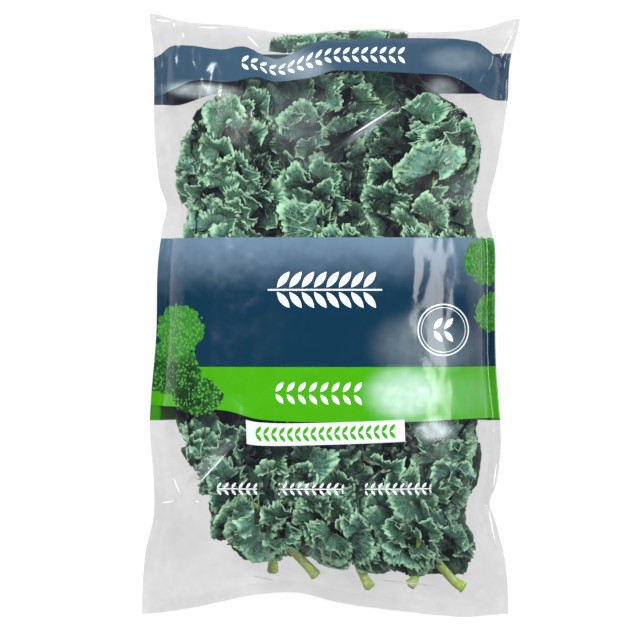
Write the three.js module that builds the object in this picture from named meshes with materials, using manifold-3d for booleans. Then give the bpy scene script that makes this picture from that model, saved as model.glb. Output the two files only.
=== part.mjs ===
// A bunch of curly kale in its clear film bag, resting on its back.
// Millimetres. X runs across the bag, Y from its sealed end to its open mouth, Z up.
// The part stands on the flat of the bag's back, with the origin under its middle.

import * as THREE from "three";
import { mergeVertices } from "three/addons/utils/BufferGeometryUtils.js";
import Module from "manifold-3d";

const wasm = await Module();
wasm.setup();

// The film bag. Its edges are not straight: each list holds [place along the edge, place across].
const bag = {
  halfLength: 195,
  wall: 0.6,
  seamFromMiddle: 0.94, // share of the half width where the two walls meet
  sealFromMiddle: 0.955, // share of the half length where the sealed end begins
  frontRise: 50,
  seamHeight: 15,
  endHeight: 8,
  mouthHeight: 9,
  mouthGap: 2.6,
  across: 14,
  along: 22,
  leftEdge: [
    [-196, -123.5], [-157, -121.5], [-131, -115.7], [-106, -115.7], [-70, -118.2], [-12, -114],
    [32, -113], [58, -109.7], [71, -107], [86, -111.8], [118, -115], [171, -115.9], [199, -118.8],
  ],
  rightEdge: [
    [-196, 118], [-162, 116], [-135, 109.5], [-122, 105.3], [-110, 109.5], [-83, 112.8],
    [-29, 109.5], [23, 109], [48, 108.7], [70, 103.9], [101, 110.5], [140, 117], [168, 119], [196, 125.7],
  ],
  sealedEnd: [
    [-124, -1.3], [-92, 2.4], [-49, 11.2], [-21, 12.6], [6, 6.1], [31, 2.4], [87, -3.3], [118, -1.3],
  ],
  mouthEnd: [
    [-119, 4.3], [-95, -1], [-63, -3.5], [-25, -8.8], [6, -6.5], [44, -5.7], [55, -8], [98, -6], [126, 1],
  ],
};

// A leaf as it grows: a blade folded round its midrib, with a frilled and toothed margin.
const leaf = {
  thickness: 0.7,
  height: 33, // of the space that a folded leaf fills
  waves: 6, // large frills on each half of the margin
  waveHeight: 7.5,
  wavePower: 1.5, // how fast the frills fade towards the midrib
  wander: 0.8, // of the frills' spacing
  lobe: 0.07, // how much the lobes widen the blade
  swell: 2.5, // height of the blade's slow rise and fall
  columns: 28, // facets along each half of the margin
  rowShares: [0.3, 0.56, 0.79, 1],
  tooth: 0.08, // how far the cut edge steps in between teeth
  footLean: -34, // degrees that the veins lean forward at the blade's foot, along it and at its tip
  sideLean: 18,
  tipLean: 90,
  ribHalfWidth: [3.4, 1.1], // of the midrib at its foot and at its tip
  ribDepth: [4.6, 0.5],
  footRoom: 11, // from the end of its cell to the blade's foot
  tipRoom: 2,
  stalkRadius: 3.3,
  stalkTaper: 0.72,
  stalkSides: 7,
  stalkRings: 6,
};

// Where the leaves lie. p and q are the places across and along the bag as if it were straight.
// The heap's left and right limits are lists of [q, p].
const heap = {
  spread: 115, // p of the bag's edge
  left: [
    [-170, -60], [-150, -78], [-120, -98], [-90, -104], [100, -104], [137, -84], [152, -64], [188, -46],
  ],
  right: [[-170, 97], [-120, 103], [-90, 104], [105, 104], [137, 93], [152, 70], [188, 54]],
  middle: 0.48, // height between the two layers, as a share of the bag's
  betweenLayers: 0.8,
  betweenCells: 0.8,
  clearOfFront: 1.6,
  clearOfSides: 7,
  clearOfBack: 2.8,
  drift: 5, // how far the leaves swing aside along the bag, and with their height
  tilt: 12,
};
// The space between the layers that the upper leaves' stalks run through.
const stalkSpace = { half: 4.6, from: -84, to: -6, fade: 22, within: 0.6, out: 0.84 };
// Each tier's cells are parted by wandering dividers, given by their p at its low and its high end.
const tiers = {
  frontTop: { side: 1, from: 4, to: 188, low: [-36, 26], high: [-36, 40], wander: 5 },
  frontLow: { side: 1, from: -168, to: -14, low: [-24, 32], high: [-22, 40], wander: 5 },
  backTop: { side: -1, from: 4, to: 186, low: [4], high: [-6], wander: 6 },
  backLow: { side: -1, from: -166, to: -16, low: [6], high: [6], wander: 6 },
};

// width: from midrib to margin, measured on the blade. flat: the strip beside the midrib that stays flat.
// turn and open: the radius and the degrees through which the blade turns up beyond it.
// lift: height of the midrib in its layer, bow: how far it bends aside, base: p of the blade's foot.
// face: 1 with the margin up, -1 with the midrib up. stem: [p, q] points that the stalk runs through.
const leaves = [
  {
    name: "leaf_front_top_left", tier: "frontTop", cell: 0, top: 160, width: 40, flat: 4,
    turn: 14, open: 76, lift: 5.5, bow: 4, face: 1, base: -58, seed: 1.3,
    stem: [[-55, -10], [-48, -34], [-38, -76]],
  },
  {
    name: "leaf_front_top_middle", tier: "frontTop", cell: 1, top: 188, width: 42, flat: 7,
    turn: 22, open: 60, lift: 5.5, bow: -6, face: -1, base: -4, seed: 2.9,
    stem: [[-5, -12], [-6, -36], [-8, -79]],
  },
  {
    name: "leaf_front_top_right", tier: "frontTop", cell: 2, top: 158, width: 38, flat: 4,
    turn: 12, open: 108, lift: 5.5, bow: 6, face: 1, base: 60, seed: 4.1,
    stem: [[57, -10], [50, -34], [40, -74]],
  },
  {
    name: "leaf_front_low_left", tier: "frontLow", cell: 0, top: -14, width: 45, flat: 5,
    turn: 18, open: 50, lift: 5.5, bow: -8, face: 1, base: -32, seed: 5.7,
    stem: [[-19, -172], [-13, -179]],
  },
  {
    name: "leaf_front_low_middle", tier: "frontLow", cell: 1, top: -14, width: 37, flat: 4,
    turn: 12, open: 102, lift: 5.5, bow: 4, face: 1, base: 12, seed: 6.4,
    stem: [[18, -174], [21, -180]],
  },
  {
    name: "leaf_front_low_right", tier: "frontLow", cell: 2, top: -14, width: 43, flat: 8,
    turn: 16, open: 56, lift: 5.5, bow: 6, face: 1, base: 56, seed: 7.9,
    stem: [[51, -172], [48, -176]],
  },
  {
    name: "leaf_back_top_left", tier: "backTop", cell: 0, top: 168, width: 42, flat: 7,
    turn: 13, open: 82, lift: 5.5, bow: 5, face: 1, base: -40, seed: 8.6,
    stem: [[-37, -12], [-30, -36], [-22, -77]],
  },
  {
    name: "leaf_back_top_right", tier: "backTop", cell: 1, top: 184, width: 44, flat: 8,
    turn: 16, open: 62, lift: 5.5, bow: -6, face: 1, base: 42, seed: 9.8,
    stem: [[39, -12], [30, -36], [18, -80]],
  },
  {
    name: "leaf_back_low_left", tier: "backLow", cell: 0, top: -16, width: 44, flat: 8,
    turn: 15, open: 60, lift: 5.5, bow: -5, face: 1, base: -34, seed: 11.2,
    stem: [[-34, -173], [-34, -179]],
  },
  {
    name: "leaf_back_low_right", tier: "backLow", cell: 1, top: -16, width: 41, flat: 7,
    turn: 13, open: 84, lift: 5.5, bow: 6, face: 1, base: 66, seed: 12.5,
    stem: [[79, -170], [87, -176]],
  },
];

const filmLook = { color: 0xe6e8ec, roughness: 0.15, metalness: 0, transparent: true, opacity: 0.3 };
const leafLook = { color: 0x3f6b4a, roughness: 0.55, metalness: 0 };

const { sin, cos, abs, min, max, pow, exp, sign } = Math;
const turnFull = 2 * Math.PI;
const degrees = Math.PI / 180;

function mix(a, b, share) {
  return a + (b - a) * share;
}

function smooth(value, from, to) {
  const t = min(1, max(0, (value - from) / (to - from)));
  return t * t * (3 - 2 * t);
}

// A smooth curve through [place, value] pairs, flat past its ends.
function through(pairs) {
  const slope = (k) =>
    k <= 0 || k >= pairs.length - 1
      ? 0
      : (pairs[k + 1][1] - pairs[k - 1][1]) / (pairs[k + 1][0] - pairs[k - 1][0]);
  return (place) => {
    let k = 0;
    while (k < pairs.length - 2 && place > pairs[k + 1][0]) k += 1;
    const step = pairs[k + 1][0] - pairs[k][0];
    const t = min(1, max(0, (place - pairs[k][0]) / step));
    const rise = t * t * (3 - 2 * t);
    const bend = t * (1 - t);
    return mix(pairs[k][1], pairs[k + 1][1], rise)
      + bend * step * (slope(k) * (1 - t) - slope(k + 1) * t);
  };
}

// Keeps a value between two limits, easing it in over the last stretch before each.
function within(value, low, high, ease) {
  if (value > high - ease) return high - ease * exp(-(value - high + ease) / ease);
  if (value < low + ease) return low + ease * exp((value - low - ease) / ease);
  return value;
}

// Closed surfaces are gathered as loose triangles and merged afterwards.
function closedGeometry(corners) {
  const loose = new THREE.BufferGeometry();
  const places = corners.flatMap((corner) => corner.toArray());
  loose.setAttribute("position", new THREE.Float32BufferAttribute(places, 3));
  return mergeVertices(loose, 1e-3);
}

function addQuad(corners, a, b, c, d) {
  corners.push(a, b, c, a, c, d);
}

const leftAt = through(bag.leftEdge);
const rightAt = through(bag.rightEdge);
const sealedAt = through(bag.sealedEnd);
const mouthAt = through(bag.mouthEnd);
const heapLeftAt = through(heap.left);
const heapRightAt = through(heap.right);

// A point of the bag in plan: u is -1 to 1 across it, v is -1 at its sealed end and 1 at its mouth.
function bagPlan(u, v) {
  const y = v * bag.halfLength;
  const share = (v + 1) / 2;
  const x = mix(leftAt(y), rightAt(y), (u + 1) / 2);
  return { x, y: y + sealedAt(x) * pow(1 - share, 3) + mouthAt(x) * pow(share, 3) };
}

// How full the bag is, from 0 at its seams to 1 in its middle.
function fullness(u, v) {
  const across = pow(1 - pow(min(1, abs(u) / bag.seamFromMiddle), 2.8), 0.56);
  const end = v < 0 ? pow(min(1, -v / bag.sealFromMiddle), 5) : pow(v, 6) * 0.998;
  return across * pow(1 - end, 0.55);
}

// Heights of the inner faces of the bag's back and front walls.
function cavity(u, v) {
  const full = fullness(u, v);
  const end = v < 0 ? bag.endHeight : bag.mouthHeight;
  const seam = mix(bag.seamHeight, end, smooth(abs(v), 0.55, 1));
  const mouth = bag.mouthGap * smooth(v, 0.85, 1) * smooth(bag.seamFromMiddle - abs(u), 0, 0.3);
  const low = seam - (seam - bag.wall) * smooth(full, 0, 0.5);
  return { low, high: seam + bag.frontRise * full * (1 - 0.16 * v) + mouth };
}

function wallPoint(u, v, face) {
  const { x, y } = bagPlan(u, v);
  return new THREE.Vector3(x, y, cavity(u, v)[face]);
}

// The inner face moved out by the wall's thickness.
function outerPoint(u, v, face) {
  const out = face === "high" ? 1 : -1;
  const step = 1e-3;
  const here = wallPoint(u, v, face);
  const flat = face === "low" && here.z <= bag.wall + 1e-9;
  const atSeam = abs(u) >= bag.seamFromMiddle - 1e-9 || v <= -bag.sealFromMiddle + 1e-9;
  if (flat || atSeam) return here.add(new THREE.Vector3(0, 0, out * bag.wall));
  const alongU = wallPoint(u + step, v, face).sub(wallPoint(u - step, v, face));
  const alongV = wallPoint(u, min(1, v + step), face).sub(wallPoint(u, v - step, face));
  const normal = alongU.cross(alongV).normalize();
  return here.addScaledVector(normal, out * bag.wall);
}

// The flat rim outside the seams, where the two walls lie on each other.
function rimPoint(u, v, face) {
  const { x, y } = bagPlan(u, v);
  const inside = cavity(sign(u) * min(abs(u), bag.seamFromMiddle), max(v, -bag.sealFromMiddle));
  const seam = abs(u) >= bag.seamFromMiddle || v <= -bag.sealFromMiddle ? inside.low : 0;
  return new THREE.Vector3(x, y, seam + (face === "high" ? bag.wall : -bag.wall));
}

function bagGeometry() {
  const corners = [];
  const { across, along, seamFromMiddle, sealFromMiddle } = bag;
  // The columns and rows are closer near the seams and ends, where the walls turn fastest.
  const closeAtEnds = (from, to, count) =>
    Array.from({ length: count + 1 }, (_, k) => mix(from, to, (1 - cos((k / count) * Math.PI)) / 2));
  const us = closeAtEnds(-seamFromMiddle, seamFromMiddle, across);
  const vs = closeAtEnds(-sealFromMiddle, 1, along);
  const allU = [-1, ...us, 1];
  const allV = [-1, ...vs];
  const isRim = (k, l) => k === 0 || k === allU.length - 1 || l === 0;
  const outer = (face) =>
    allU.map((u, k) => allV.map((v, l) => (isRim(k, l) ? rimPoint : outerPoint)(u, v, face)));
  const inner = (face) => us.map((u) => vs.map((v) => wallPoint(u, v, face)));
  const addGrid = (grid, facesUp) => {
    for (let k = 0; k < grid.length - 1; k += 1) {
      for (let l = 0; l < grid[0].length - 1; l += 1) {
        const [a, b, c, d] = [grid[k][l], grid[k + 1][l], grid[k + 1][l + 1], grid[k][l + 1]];
        if (facesUp) addQuad(corners, a, b, c, d);
        else addQuad(corners, a, d, c, b);
      }
    }
  };
  const outerFront = outer("high");
  const outerBack = outer("low");
  const innerFront = inner("high");
  const innerBack = inner("low");
  addGrid(outerFront, true);
  addGrid(outerBack, false);
  addGrid(innerFront, false);
  addGrid(innerBack, true);
  const lastK = allU.length - 1;
  const lastL = allV.length - 1;
  for (let k = 0; k < lastK; k += 1) {
    addQuad(corners, outerBack[k][0], outerBack[k + 1][0], outerFront[k + 1][0], outerFront[k][0]);
  }
  const [backLeft, backRight] = [outerBack[0], outerBack[lastK]];
  const [frontLeft, frontRight] = [outerFront[0], outerFront[lastK]];
  for (let l = 0; l < lastL; l += 1) {
    addQuad(corners, backLeft[l + 1], backLeft[l], frontLeft[l], frontLeft[l + 1]);
    addQuad(corners, backRight[l], backRight[l + 1], frontRight[l + 1], frontRight[l]);
  }
  // The rim of the mouth joins the outer faces to the inner ones.
  const endV = vs.length - 1;
  for (let k = 0; k < across; k += 1) {
    const [a, b] = [outerFront[k + 1][lastL], outerFront[k + 2][lastL]];
    addQuad(corners, a, b, innerFront[k + 1][endV], innerFront[k][endV]);
    const [c, d] = [outerBack[k + 1][lastL], outerBack[k + 2][lastL]];
    addQuad(corners, d, c, innerBack[k][endV], innerBack[k + 1][endV]);
  }
  for (const k of [0, lastK - 1]) {
    const seamAt = innerFront[min(k, across)][endV];
    const [a, b] = [outerFront[k][lastL], outerFront[k + 1][lastL]];
    const [c, d] = [outerBack[k][lastL], outerBack[k + 1][lastL]];
    corners.push(a, b, seamAt, c, seamAt, d);
    if (k === 0) corners.push(a, seamAt, c);
    else corners.push(seamAt, b, d);
  }
  return closedGeometry(corners);
}

// Frills of the margin: m runs from 0 at the blade's right foot, over the tip at 1, to 2 at its left foot.
function frill(m, seed) {
  const wander = leaf.wander * sin(turnFull * 0.83 * m + seed * 2.1);
  const strength = 0.8 + 0.2 * sin(turnFull * 1.7 * m + seed * 3.7);
  return strength * sin(turnFull * leaf.waves * m + wander + seed);
}

// How wide the blade is along its length, as a share of its greatest width, with shallow lobes.
function outline(along, seed) {
  const lobe = leaf.lobe * sin(turnFull * leaf.waves * 0.5 * along + seed * 1.9) * smooth(along, 0, 0.2);
  return 0.1 + 0.9 * pow(smooth(along, -0.01, 0.3), 0.55) - 0.05 * smooth(along, 0.75, 1) + lobe;
}

// The section of the folded blade: its place beside the midrib and above it at a distance along the blade.
function fold(distance, { flat, turn, open }) {
  const arc = min(max(distance - flat, 0), turn * open * degrees);
  const angle = arc / turn;
  const past = max(distance - flat - turn * open * degrees, 0);
  return {
    angle,
    aside: min(distance, flat) + turn * sin(angle) + past * cos(angle),
    up: turn * (1 - cos(angle)) + past * sin(angle),
  };
}

// The widest place of that section.
function foldReach(one) {
  const atTurn = fold(one.flat + one.turn * min(one.open, 90) * degrees, one).aside;
  return max(atTurn, fold(one.width, one).aside);
}

// A point in the space of one layer: p across, q along, height above the layer's floor.
function inBag(p, q, height, side) {
  const tilt = heap.tilt * (height / leaf.height - 0.5) * sin(q / 43 + 2 * side);
  const drift = (heap.drift * sin(q / 36 + side) + tilt) * (1 - pow(p / 108, 2));
  const u = (p + drift) / heap.spread;
  const v = q / bag.halfLength;
  const { low, high } = cavity(u, v);
  const spaceForStalks = stalkSpace.half
    * smooth(q, stalkSpace.from - stalkSpace.fade, stalkSpace.from)
    * (1 - smooth(q, stalkSpace.to, stalkSpace.to + stalkSpace.fade))
    * (1 - smooth(abs(u), stalkSpace.within, stalkSpace.out));
  const floor = mix(low, high, heap.middle) + side * (heap.betweenLayers + spaceForStalks);
  const clearOfFront = mix(heap.clearOfFront, heap.clearOfSides, smooth(abs(u), 0.7, 0.9));
  const ceiling = side > 0 ? high - clearOfFront : low + heap.clearOfBack;
  const { x, y } = bagPlan(u, v);
  return new THREE.Vector3(x, y, mix(floor, ceiling, height / leaf.height));
}

// The stretch of p that a leaf may fill at a place along the bag.
function cellAt(one, q) {
  const { from, to, low, high, wander } = tiers[one.tier];
  const dividers = low.map((_, k) =>
    mix(low[k], high[k], (q - from) / (to - from)) + wander * sin(q / 21 + 2.1 * k + from));
  const limits = [heapLeftAt(q), ...dividers, heapRightAt(q)];
  return { left: limits[one.cell], right: limits[one.cell + 1] };
}

// The midrib's place at a distance along it: it starts at the blade's foot and swings to its cell's middle.
function ribPlan(one, along) {
  const foot = tiers[one.tier].from + leaf.footRoom;
  const tip = one.top - 0.9 * fold(one.width, one).aside - leaf.tipRoom;
  const q = mix(foot, tip, along);
  const { left, right } = cellAt(one, q);
  const settled = mix(one.base, (left + right) / 2, smooth(along, 0, 0.6));
  return { p: settled + one.bow * sin(Math.PI * along), q };
}

// A point of the blade's middle surface: m along the margin, share from the midrib's side to the margin.
function bladePoint(one, m, share) {
  const tier = tiers[one.tier];
  const along = 1 - abs(1 - m);
  const hand = m <= 1 ? 1 : -1;
  const veinLean = mix(leaf.footLean, leaf.sideLean, smooth(along, 0, 0.35));
  const lean = mix(veinLean, leaf.tipLean, pow(along, 4)) * degrees;
  const beside = share < 0 ? 0 : mix(leaf.ribHalfWidth[0], leaf.ribHalfWidth[1], along);
  const edge = one.width * outline(along, one.seed);
  const { angle, aside, up } = fold(mix(beside, edge, max(share, 0)), one);
  const wave = leaf.waveHeight * frill(m, one.seed) * pow(max(share, 0), leaf.wavePower);
  const out = aside - wave * sin(angle);
  const rib = ribPlan(one, 1 - pow(1 - along, 1.5));
  const cell = cellAt(one, rib.q);
  const room = hand > 0 ? cell.right - rib.p : rib.p - cell.left;
  const stretch = mix(1, (room + 4) / foldReach(one), smooth(out, 0, 12));
  const p = rib.p + hand * out * cos(lean) * stretch;
  const q = rib.q + out * sin(lean);
  // The outer part of each half stays on its own side of the midrib, except round the tip.
  const pastRib = 14 * (1 - smooth(share, 0.2, 0.6)) + 30 * smooth(lean, 1, 1.5) - 1.5;
  const bounds = cellAt(one, q);
  const left = hand > 0 ? max(bounds.left, rib.p - pastRib) : bounds.left;
  const right = hand > 0 ? bounds.right : min(bounds.right, rib.p + pastRib);
  const swell = leaf.swell * sin(rib.q / 17 + one.seed) * max(share, 0);
  const height = within(one.lift + up + wave * cos(angle) + swell, 0, leaf.height, 4);
  return inBag(
    within(p, left + heap.betweenCells, right - heap.betweenCells, 5),
    within(q, tier.from, one.top, 6),
    one.face > 0 ? height : leaf.height - height,
    tier.side,
  );
}

// A thin closed shell round the blade's middle surface, cut alike on both faces, thicker at the midrib.
function bladeGeometry(one) {
  const { columns, rowShares, thickness, tooth, ribDepth } = leaf;
  const last = 2 * columns;
  const rows = rowShares.length + 1;
  const points = [];
  const index = (column, row) =>
    row === 0 ? min(column, last - column) : columns + 1 + (row - 1) * (last + 1) + column;
  for (let column = 0; column <= columns; column += 1) points.push(bladePoint(one, column / columns, -1));
  for (const share of [0, ...rowShares]) {
    for (let column = 0; column <= last; column += 1) {
      const cut = column % 2 === 1 && share === 1 ? 1 - tooth : 1;
      points.push(bladePoint(one, column / columns, cut * share));
    }
  }
  const faces = [];
  for (let row = 0; row < rows; row += 1) {
    for (let column = 0; column < last; column += 1) {
      const a = index(column, row);
      const b = index(column, row + 1);
      const c = index(column + 1, row + 1);
      const d = index(column + 1, row);
      if (column < columns) faces.push([a, b, c], [a, c, d]);
      else faces.push([a, b, d], [b, c, d]);
    }
  }
  const normals = points.map(() => new THREE.Vector3());
  for (const [a, b, c] of faces) {
    const across = points[b].clone().sub(points[a]).cross(points[c].clone().sub(points[a]));
    for (const k of [a, b, c]) normals[k].add(across);
  }
  normals.forEach((n) => n.normalize());
  // The midrib stands out on the outside of the fold.
  const outside = -tiers[one.tier].side * one.face;
  const moved = (way) => points.map((p, k) => {
    const onRib = k <= columns && way === outside;
    const depth = onRib ? mix(ribDepth[0], ribDepth[1], pow(k / columns, 0.7)) : 0;
    return p.clone().addScaledVector(normals[k], way * (thickness / 2 + depth));
  });
  const above = moved(1);
  const below = moved(-1);
  const corners = [];
  for (const [a, b, c] of faces) {
    corners.push(above[a], above[b], above[c], below[a], below[c], below[b]);
  }
  const edge = [];
  for (let row = 0; row < rows; row += 1) edge.push(index(0, row));
  for (let column = 0; column <= last; column += 1) edge.push(index(column, rows));
  for (let row = rows - 1; row > 0; row -= 1) edge.push(index(last, row));
  edge.forEach((a, k) => {
    const b = edge[(k + 1) % edge.length];
    addQuad(corners, below[a], below[b], above[b], above[a]);
  });
  return closedGeometry(corners);
}

// The stalk: a cylinder bent from its cut end to the blade's foot, which it enters.
function stalkGeometry(one) {
  const tier = tiers[one.tier];
  const betweenTiers = one.tier.endsWith("Top");
  const footHeight = one.face > 0 ? one.lift : leaf.height - one.lift;
  const path = [...one.stem].reverse().map(([p, q]) => {
    const place = inBag(p, q, betweenTiers ? 0 : footHeight, tier.side);
    if (betweenTiers) place.z -= tier.side * (stalkSpace.half + heap.betweenLayers);
    return place;
  });
  for (const along of [0.02, 0.1]) {
    const { p, q } = ribPlan(one, along);
    const place = inBag(p, q, footHeight, tier.side);
    place.z -= (leaf.ribDepth[0] / 3) * tier.side * one.face;
    path.push(place);
  }
  const line = new THREE.CatmullRomCurve3(path, false, "centripetal");
  const tube = new THREE.CylinderGeometry(1, 1, 1, leaf.stalkSides, leaf.stalkRings);
  const place = tube.attributes.position;
  const up = new THREE.Vector3(0, 0, 1);
  for (let k = 0; k < place.count; k += 1) {
    const along = place.getY(k) + 0.5;
    const radius = leaf.stalkRadius * mix(1, leaf.stalkTaper, along);
    const centre = line.getPointAt(along);
    const forward = line.getTangentAt(along);
    const aside = forward.clone().cross(up).normalize();
    const over = aside.clone().cross(forward);
    centre.addScaledVector(aside, place.getX(k) * radius);
    centre.addScaledVector(over, place.getZ(k) * radius);
    place.setXYZ(k, centre.x, centre.y, centre.z);
  }
  return tube;
}

function solidOf(geometry) {
  const bare = geometry.clone();
  bare.deleteAttribute("normal");
  bare.deleteAttribute("uv");
  const merged = mergeVertices(bare, 1e-3);
  return new wasm.Manifold(new wasm.Mesh({
    numProp: 3,
    vertProperties: merged.attributes.position.array,
    triVerts: new Uint32Array(merged.index.array),
  }));
}

function geometryOf(solid) {
  const made = solid.getMesh();
  const geometry = new THREE.BufferGeometry();
  geometry.setAttribute("position", new THREE.BufferAttribute(made.vertProperties, 3));
  geometry.setIndex(new THREE.BufferAttribute(made.triVerts, 1));
  geometry.computeVertexNormals();
  return geometry;
}

function namedMesh(name, geometry, look) {
  const mesh = new THREE.Mesh(geometry, new THREE.MeshStandardMaterial(look));
  mesh.name = name;
  return mesh;
}

function leafMesh(one) {
  const grown = solidOf(bladeGeometry(one)).add(solidOf(stalkGeometry(one)));
  return namedMesh(one.name, geometryOf(grown), leafLook);
}

function bagMesh() {
  const geometry = bagGeometry();
  geometry.computeVertexNormals();
  return namedMesh("film_bag", geometry, filmLook);
}

// The bag's box is centred over the origin.
const bunch = new THREE.Group();
bunch.add(bagMesh(), ...leaves.map(leafMesh));
const box = new THREE.Box3().setFromObject(bunch);
bunch.position.set(-(box.min.x + box.max.x) / 2, -(box.min.y + box.max.y) / 2, -box.min.z);

export default bunch;
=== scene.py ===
import math

import bmesh
import bpy
import numpy as np
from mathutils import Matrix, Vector, noise


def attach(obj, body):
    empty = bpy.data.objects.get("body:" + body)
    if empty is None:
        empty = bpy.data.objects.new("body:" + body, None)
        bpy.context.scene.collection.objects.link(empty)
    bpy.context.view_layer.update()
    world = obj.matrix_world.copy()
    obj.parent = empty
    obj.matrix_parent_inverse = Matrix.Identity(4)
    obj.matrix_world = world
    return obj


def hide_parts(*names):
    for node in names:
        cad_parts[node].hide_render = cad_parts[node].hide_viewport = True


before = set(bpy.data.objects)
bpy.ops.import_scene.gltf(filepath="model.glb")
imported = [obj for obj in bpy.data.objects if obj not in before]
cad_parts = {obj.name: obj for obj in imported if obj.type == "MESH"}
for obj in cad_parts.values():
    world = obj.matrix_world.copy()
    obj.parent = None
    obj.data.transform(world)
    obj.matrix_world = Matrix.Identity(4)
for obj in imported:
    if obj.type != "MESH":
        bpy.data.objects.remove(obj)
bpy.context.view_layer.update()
scene = bpy.context.scene
bpy.ops.object.select_all(action="DESELECT")

turn = 2 * math.pi
toMetres = 0.001
middleShift = (-1.091, -0.521)  # mm, from the bag's own middle to the middle of its box


# Curves and easing, as in the part

def mix(a, b, share):
    return a + (b - a) * share


def smooth(value, start, end):
    t = np.clip((value - start) / (end - start), 0, 1)
    return t * t * (3 - 2 * t)


def through(pairs):  # a smooth curve through [place, value] pairs, flat past its ends
    places, values = np.array(pairs, float).T
    slopes = np.zeros(len(places))
    slopes[1:-1] = (values[2:] - values[:-2]) / (places[2:] - places[:-2])

    def at(place):
        k = np.clip(np.searchsorted(places, place) - 1, 0, len(places) - 2)
        step = places[k + 1] - places[k]
        t = np.clip((place - places[k]) / step, 0, 1)
        bend = t * (1 - t) * step * (slopes[k] * (1 - t) - slopes[k + 1] * t)
        return mix(values[k], values[k + 1], t * t * (3 - 2 * t)) + bend

    return at


def within(value, low, high, ease):  # eases a value in over the last stretch before its limits
    over = high - ease * np.exp(-np.maximum(value - high + ease, 0) / ease)
    under = low + ease * np.exp(np.minimum(value - low - ease, 0) / ease)
    return np.where(value > high - ease, over, np.where(value < low + ease, under, value))


# The bag's shape, in mm, as in the part

bagShape = {
    "halfLength": 195,
    "wall": 0.6,
    "seamFromMiddle": 0.94,  # where the side seams start, as a share of the half width
    "sealFromMiddle": 0.955,  # where the sealed end starts, as a share of the half length
    "squareAcross": 2.8,
    "roundAcross": 0.56,
    "squareSealed": 5,
    "squareMouth": 6,
    "roundAlong": 0.55,
    "mouthShut": 0.998,
    "frontRise": 50,
    "frontSlope": 0.16,  # the front is higher towards the sealed end
    "seamHeight": 15,
    "endHeight": 8,
    "mouthHeight": 9,
    "mouthGap": 2.6,
    "leftEdge": [
        [-196, -123.5], [-157, -121.5], [-131, -115.7], [-106, -115.7], [-70, -118.2], [-12, -114],
        [32, -113], [58, -109.7], [71, -107], [86, -111.8], [118, -115], [171, -115.9], [199, -118.8],
    ],
    "rightEdge": [
        [-196, 118], [-162, 116], [-135, 109.5], [-122, 105.3], [-110, 109.5], [-83, 112.8], [-29, 109.5],
        [23, 109], [48, 108.7], [70, 103.9], [101, 110.5], [140, 117], [168, 119], [196, 125.7],
    ],
    "sealedEnd": [
        [-124, -1.3], [-92, 2.4], [-49, 11.2], [-21, 12.6], [6, 6.1], [31, 2.4], [87, -3.3], [118, -1.3],
    ],
    "mouthEnd": [
        [-119, 4.3], [-95, -1], [-63, -3.5], [-25, -8.8], [6, -6.5], [44, -5.7], [55, -8], [98, -6],
        [126, 1],
    ],
}
leftAt = through(bagShape["leftEdge"])
rightAt = through(bagShape["rightEdge"])
sealedAt = through(bagShape["sealedEnd"])
mouthAt = through(bagShape["mouthEnd"])


def bagPlan(u, v):  # u is -1 to 1 across the bag, v is -1 at its sealed end and 1 at its mouth
    y = v * bagShape["halfLength"]
    share = (v + 1) / 2
    x = mix(leftAt(y), rightAt(y), (u + 1) / 2)
    return x, y + sealedAt(x) * (1 - share) ** 3 + mouthAt(x) * share ** 3


def fullness(u, v):  # 0 at the seams and ends, 1 where the bag is fullest
    shape = bagShape
    across = 1 - np.minimum(1, np.abs(u) / shape["seamFromMiddle"]) ** shape["squareAcross"]
    sealed = np.minimum(1, np.maximum(-v, 0) / shape["sealFromMiddle"]) ** shape["squareSealed"]
    end = np.where(v < 0, sealed, np.abs(v) ** shape["squareMouth"] * shape["mouthShut"])
    return across ** shape["roundAcross"] * (1 - end) ** shape["roundAlong"]


def cavity(u, v):  # heights of the inner faces of the back and front walls
    full = fullness(u, v)
    end = np.where(v < 0, bagShape["endHeight"], bagShape["mouthHeight"])
    seam = mix(bagShape["seamHeight"], end, smooth(np.abs(v), 0.55, 1))
    besideSeam = smooth(bagShape["seamFromMiddle"] - np.abs(u), 0, 0.3)
    mouth = bagShape["mouthGap"] * smooth(v, 0.85, 1) * besideSeam
    low = seam - (seam - bagShape["wall"]) * smooth(full, 0, 0.5)
    return low, seam + bagShape["frontRise"] * full * (1 - bagShape["frontSlope"] * v) + mouth


def toFrame(x, y, z):
    return np.stack([x + middleShift[0], y + middleShift[1], z], axis=-1) * toMetres


# Working in Blender

def onlyActive(piece):
    bpy.ops.object.select_all(action="DESELECT")
    piece.select_set(True)
    bpy.context.view_layer.objects.active = piece


def newGrid(name, columns, rows):  # a grid whose vertices run row by row, x fastest
    bpy.ops.mesh.primitive_grid_add(x_subdivisions=columns, y_subdivisions=rows, size=1)
    piece = bpy.context.object
    piece.name = name
    piece.data.name = name
    onlyActive(piece)
    return piece


def placeVertices(piece, places):
    piece.data.vertices.foreach_set("co", np.asarray(places, np.float32).ravel())
    piece.data.update()


def addFloats(piece, name, values):
    made = piece.data.attributes.new(name, "FLOAT", "POINT")
    made.data.foreach_set("value", np.asarray(values, np.float32).ravel())


def readFloats(piece, name):
    values = np.empty(len(piece.data.vertices), np.float32)
    piece.data.attributes[name].data.foreach_get("value", values)
    return values


def setUv(piece, name, places):  # one UV place for each vertex
    uvMap = piece.data.uv_layers.new(name=name)
    corners = np.empty(len(piece.data.loops), np.int32)
    piece.data.loops.foreach_get("vertex_index", corners)
    uvMap.data.foreach_set("uv", np.asarray(places, np.float32)[corners].ravel())
    piece.data.uv_layers.active = uvMap


def joinAll(parts):  # joins the parts into the first one
    bpy.ops.object.select_all(action="DESELECT")
    for part in parts:
        part.select_set(True)
    bpy.context.view_layer.objects.active = parts[0]
    bpy.ops.object.join()


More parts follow.
